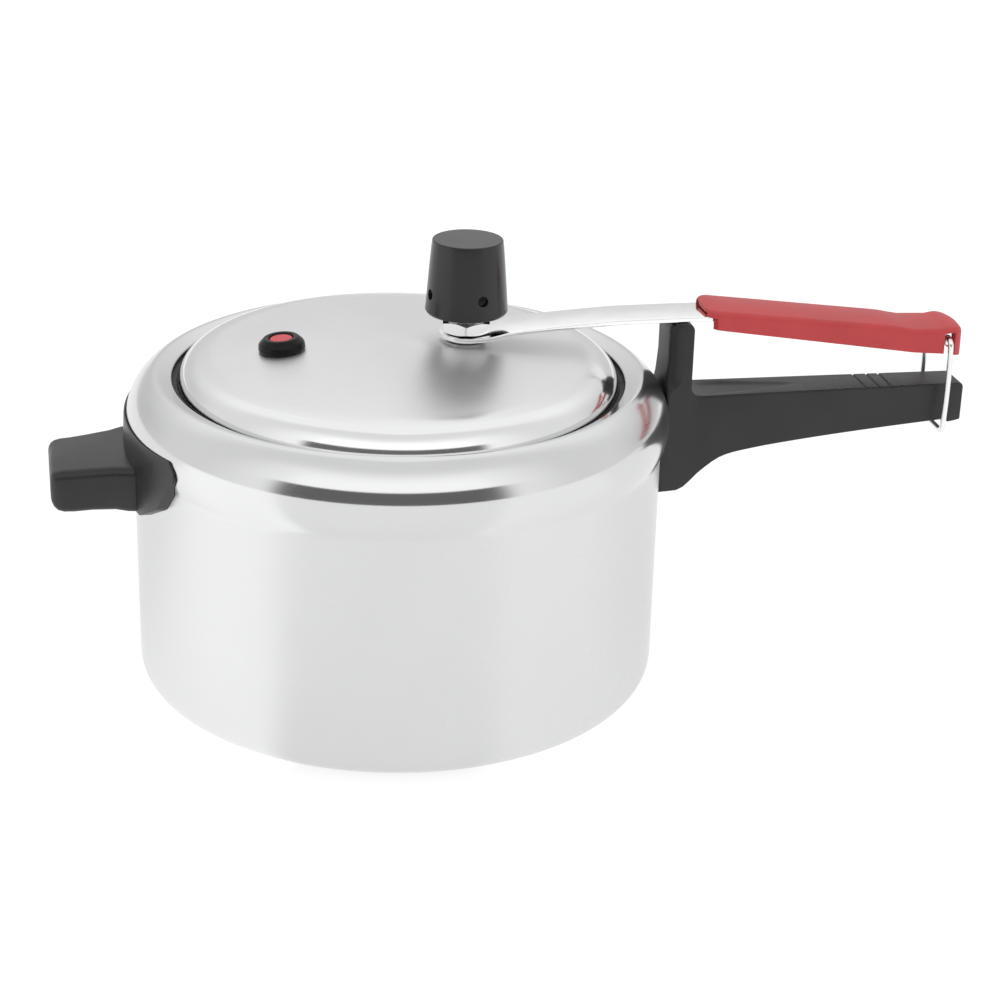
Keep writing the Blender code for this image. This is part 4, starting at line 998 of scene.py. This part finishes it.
def on_post_front(face):
    centre = face.calc_center_median()
    return centre.x < POST_START + 1 and centre.z > 118


def on_thumb_top(face):
    centre = face.calc_center_median()
    return face.normal.z > 0.9 and THUMB_START - 1 < centre.x < THUMB_END + 2 and centre.z > 112


def make_long_handle():
    """Long handle: root, post and grip in one moulding, with a thumb rest, three grooves and an end lip."""
    width = 10
    bm = slab(handle_outline(), width)
    rims = [e for e in bm.edges if abs(e.verts[0].co.y - e.verts[1].co.y) < MERGE]
    rim_bevel(bm, rims, HANDLE_CORNER, 5)
    cuts = [112.5, 114.2, 116, 118, 120, 122.5, 124.5]
    x = 126
    while x < HANDLE_END - 8:
        cuts.append(x)
        x += 2
    cuts += [HANDLE_END - 7.2, HANDLE_END - 6.2, HANDLE_END - 4, HANDLE_END - 2.6]
    cuts += [g + d for g in GROOVES for d in (-0.75, -0.3, 0.3, 0.75)]
    slice_at(bm, cuts, 0)
    slice_at(bm, [120, 122, 124, 127, 131, 136, 141, 145], 2, on_post)
    slice_at(bm, [s * width * a for a in (0.65, 0.72, 0.79) for s in (-1, 1)], 1, on_post_front)
    slice_at(bm, [-7 + 0.9 * i for i in range(16)], 1, on_thumb_top)
    spread = POST_START + 6.8
    eye = eye_centre()
    for vert in bm.verts:
        x, y, z = vert.co
        share = y / width
        y = share * handle_half(x, z)
        if z > 118 and x < spread:
            edge = max(0, (abs(share) - 0.65) / 0.35)
            keep = 1 + (max(sqrt(max(0, 1 - edge**2)), 0.1) - 1) * blend((z - 119) / 6)
            x = spread - (spread - x) * keep
        x -= (WALL_R - sqrt(WALL_R**2 - y**2)) * min(max((126 - x) / 14, 0), 1)
        if z > HANDLE_Z - 1:
            z -= thumb_recess(x, y)
        if z > HANDLE_Z - 3 and z < HANDLE_Z + 1:
            near = min(abs(x - g) for g in GROOVES)
            z -= GROOVE_DEPTH if near < GROOVE_HALF else 0
        if z < HANDLE_Z - 12 and x > HANDLE_END - 7:
            swing = eye.z - sqrt((eye.z - BAIL_LOW.z - 2 * WIRE_R - GAP) ** 2 - (x - BAIL_X) ** 2)
            z = max(z - 2 * blend((x - HANDLE_END + 6.8) / 1.2), swing)
        vert.co = (x, y, z)
    piece("long_handle_moulding", bm, HANDLE_BLACK, "pot", "black_phenolic", "long_handle", sharp=35)


def grip_section(x, half, low, high, upper, lower):
    """Rounded section of the short handle, softer along its top edges than below."""
    upper = min(upper, (high - low) * 0.55, half - 0.1)
    lower = min(lower, (high - low) * 0.4, half - 0.1)
    right = arc((half - lower, low + lower), lower, lower, -90, 0, 5)
    right += arc((half - upper, high - upper), upper, upper, 0, 90, 8)
    points = right + [(-y, z) for y, z in reversed(right)]
    return [(x, y, z) for y, z in points]


def wing_plate():
    """Flange of the short handle: a shield outline wrapped on the wall and the foot of the shoulder."""
    low, high = GRIP_Z + 1.5, GRIP_Z + GRIP_H + 13
    right = [(30, low, 4), (45, low + 8, 8), (58.5, low + 26, 4), (54, low + 31.5, 3), (34, high, 20)]
    left = [(-x, z, r) for x, z, r in reversed(right)]
    outline = Outline(0, low).through([(0, low, 0)] + right + left, closed=True)
    plate = slab(outline, 35)
    bmesh.ops.rotate(plate, cent=(0, 0, 0), matrix=Matrix.Rotation(pi / 2, 3, "Z"), verts=plate.verts)
    bmesh.ops.translate(plate, vec=(-WALL_R + 15, 0, 0), verts=plate.verts)
    face = Outline(0, 20).to(OUTER_R + 1.2, 20).to(OUTER_R + 1.2, SHOULDER_Z - 6)
    face.to(OUTER_R + 0.9, SHOULDER_Z)
    face.turn(SHOULDER_C, SHOULDER_Z, SHOULDER_TURN)
    face.to(0, face.tip.co.z)
    return combine(plate, lathe(face, RING_STEPS), "INTERSECT")


def wall_line(away):
    """Side of the pot's wall and shoulder, closed to the axis and set off by a distance."""
    line = Outline(0, 20).to(WALL_R + away, 20).to(WALL_R + away, STEP_Z)
    line.turn(WALL_R + STEP_R, STEP_Z, -STEP_TURN).turn(SHOULDER_C, SHOULDER_Z, STEP_TURN + SHOULDER_TURN)
    return line.to(0, line.tip.co.z)


def make_short_handle():
    """Short helper handle: a stout slotted grip standing on a flange that follows the wall."""
    outer = -WALL_R - GRIP_REACH
    top = GRIP_Z + GRIP_H
    root = -WALL_R + 14
    shares = [(outer, -3.4, 5, -5.6), (outer + 0.35, -2.2, 3.4, -4.3), (outer + 1.2, -1.1, 1.9, -3.3),
              (outer + 2.6, -0.3, 0.7, -2.6), (outer + 5, 0, 0, -2.1), (outer + 9, 0.3, 0, -1.9),
              (outer + 16, 1.2, 0.7, -1.3), (outer + 25, 2.8, 1.1, -0.5), (-WALL_R - 4, 5, 0.9, 0),
              (root, 8, 0.9, 0.6)]
    bm = skin([grip_section(x, GRIP_HALF + wide, GRIP_Z + rise, top + fall, 3.6, 2.4)
               for x, wide, rise, fall in shares])
    bm = combine(bm, wing_plate(), "UNION")
    bm = combine(bm, lathe(wall_line(GAP - 0.05), RING_STEPS))
    slot_low, slot_high = GRIP_Z + 2.5, GRIP_Z + 13
    mouth, floor = outer - 5, outer + 9
    corners = [(mouth, slot_low, 0), (floor, slot_low, 2), (floor, slot_high, 2), (mouth, slot_high, 0)]
    bm = combine(bm, slab(Outline(mouth, slot_low).through(corners, closed=True), SLOT_HALF))
    piece("short_handle_moulding", bm, GRIP_BLACK, "pot", "black_phenolic", "short_handle", sharp=30)


# ---------------------------------------------------------------- frame parts that stay


def dress_frame():
    """Gives the frame's own small parts their metal and rubber."""
    looks = {STEEL: ("long_handle_bracket", "short_handle_bracket", "safety_valve_nut"),
             RIVET: ("long_handle_rivet_lower", "long_handle_rivet_upper", "short_handle_rivet_left",
                     "short_handle_rivet_right"),
             SCREW: ("long_handle_screw", "short_handle_screw", "sleeve_screw"),
             SEAL_BLACK: ("vent_seal",), CORE: ("weight_core",), SPRING: ("weight_clip",)}
    for finish, names in looks.items():
        for name in names:
            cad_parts[name].material_slots[0].material = finish


# ---------------------------------------------------------------- studio


def painted_light_pool(finish, side, gain):
    """Painted pool of light: brighter emission on the floor on one side of the pot, with a firm inner edge
    and a long outer fade.
    """
    x, y, z = finish.here.axes()
    across = (x * cos(AZIMUTH) + y * sin(AZIMUTH)) * side
    ahead = x * FACING.x + y * FACING.y
    off_x = across - OUTER_R * sin(POOL_START)
    off_y = ahead + OUTER_R * cos(POOL_START)
    beyond = off_x * cos(POOL_WAY) + off_y * sin(POOL_WAY)
    return beyond.between(-6, 12) * ahead.between(60, -90) * gain


def make_floor():
    """White floor that reaches past the horizon and glows softly, with painted pools of light that make its
    glow uneven.
    """
    bm = bmesh.new()
    bmesh.ops.create_grid(bm, x_segments=2, y_segments=2, size=FLOOR_HALF)
    floor = solid(bm, "studio_floor")
    finish = Finish("studio_white", Base_Color=(0.3, 0.3, 0.3, 1), Roughness=0.9, Specular_IOR_Level=0.0)
    # Painted pools of light raise the floor's emission on both sides of the pot.
    glow = painted_light_pool(finish, -1, LEFT_POOL) + painted_light_pool(finish, 1, RIGHT_POOL) + FLOOR_GLOW
    colour = glow.node("ShaderNodeCombineXYZ", {}, {0: glow, 1: glow, 2: glow})
    finish.feed("Emission Color", colour)
    finish.shader.inputs["Emission Strength"].default_value = 1
    floor.data.materials.append(finish.material)


def make_sky():
    """White studio: a dark low strip in front of the pot, duller low down and brighter high up behind it."""
    world = bpy.data.worlds.new("studio")
    bpy.context.scene.world = world
    world.use_nodes = True
    tree = world.node_tree
    tree.nodes.clear()
    output = tree.nodes.new("ShaderNodeOutputWorld")
    way = S(tree, tree.nodes.new("ShaderNodeTexCoord").outputs["Generated"])
    x, y, z = way.axes()
    ahead = x * FACING.x + y * FACING.y
    level = (1 - z * z).math("MAXIMUM", 0.0001).math("SQRT")
    bearing = ahead / level
    front = bearing.between(-0.62, -0.72)
    sides = bearing.between(-0.68, -0.74) * bearing.between(0.3, -0.3) * z.between(0.85, 0.6)
    behind = bearing.between(0.2, 0.7)
    ahead_glow = bearing.between(-0.05, -0.85) * z.between(0.97, 0.75)
    strength = SKY_LEVEL + ahead_glow * 0.4 + sides * 0.15
    strength = strength - behind * z.between(0.5, 0.15) * 0.24 + behind * z.between(0.42, 0.7) * 0.25
    strength = strength * (1 - front * z.between(0.44, 0.4) * 0.88)
    light = tree.nodes.new("ShaderNodeBackground")
    tree.links.new(strength.socket, light.inputs["Strength"])
    tree.links.new(light.outputs[0], output.inputs["Surface"])


def make_camera():
    """Three-quarter view from the front, a little to the left, looking down on the lid."""
    right = Vector((cos(AZIMUTH), sin(AZIMUTH), 0))
    ahead = Vector((-sin(AZIMUTH) * cos(ELEVATION), cos(AZIMUTH) * cos(ELEVATION), -sin(ELEVATION)))
    up = right.cross(ahead)
    across = right * cos(ROLL) - up * sin(ROLL)
    upright = right * sin(ROLL) + up * cos(ROLL)
    camera = bpy.data.cameras.new("camera")
    camera.lens = LENS
    camera.sensor_width = SENSOR
    obj = bpy.data.objects.new("camera", camera)
    bpy.context.scene.collection.objects.link(obj)
    turn = Matrix((across, upright, -ahead)).transposed().to_4x4()
    place = right * CAMERA_RIGHT + up * CAMERA_UP - ahead * CAMERA_BACK
    obj.matrix_world = Matrix.Translation(place) @ turn
    bpy.context.scene.camera = obj


make_pot()
make_lid()
make_gasket()
make_vent()
make_spacer()
make_nut()
make_weight()
make_safety_valve()
make_arm()
make_sleeve()
make_bail()
make_long_handle()
make_short_handle()
dress_frame()
make_floor()
make_sky()
make_camera()
bpy.context.scene.view_settings.view_transform = "Standard"
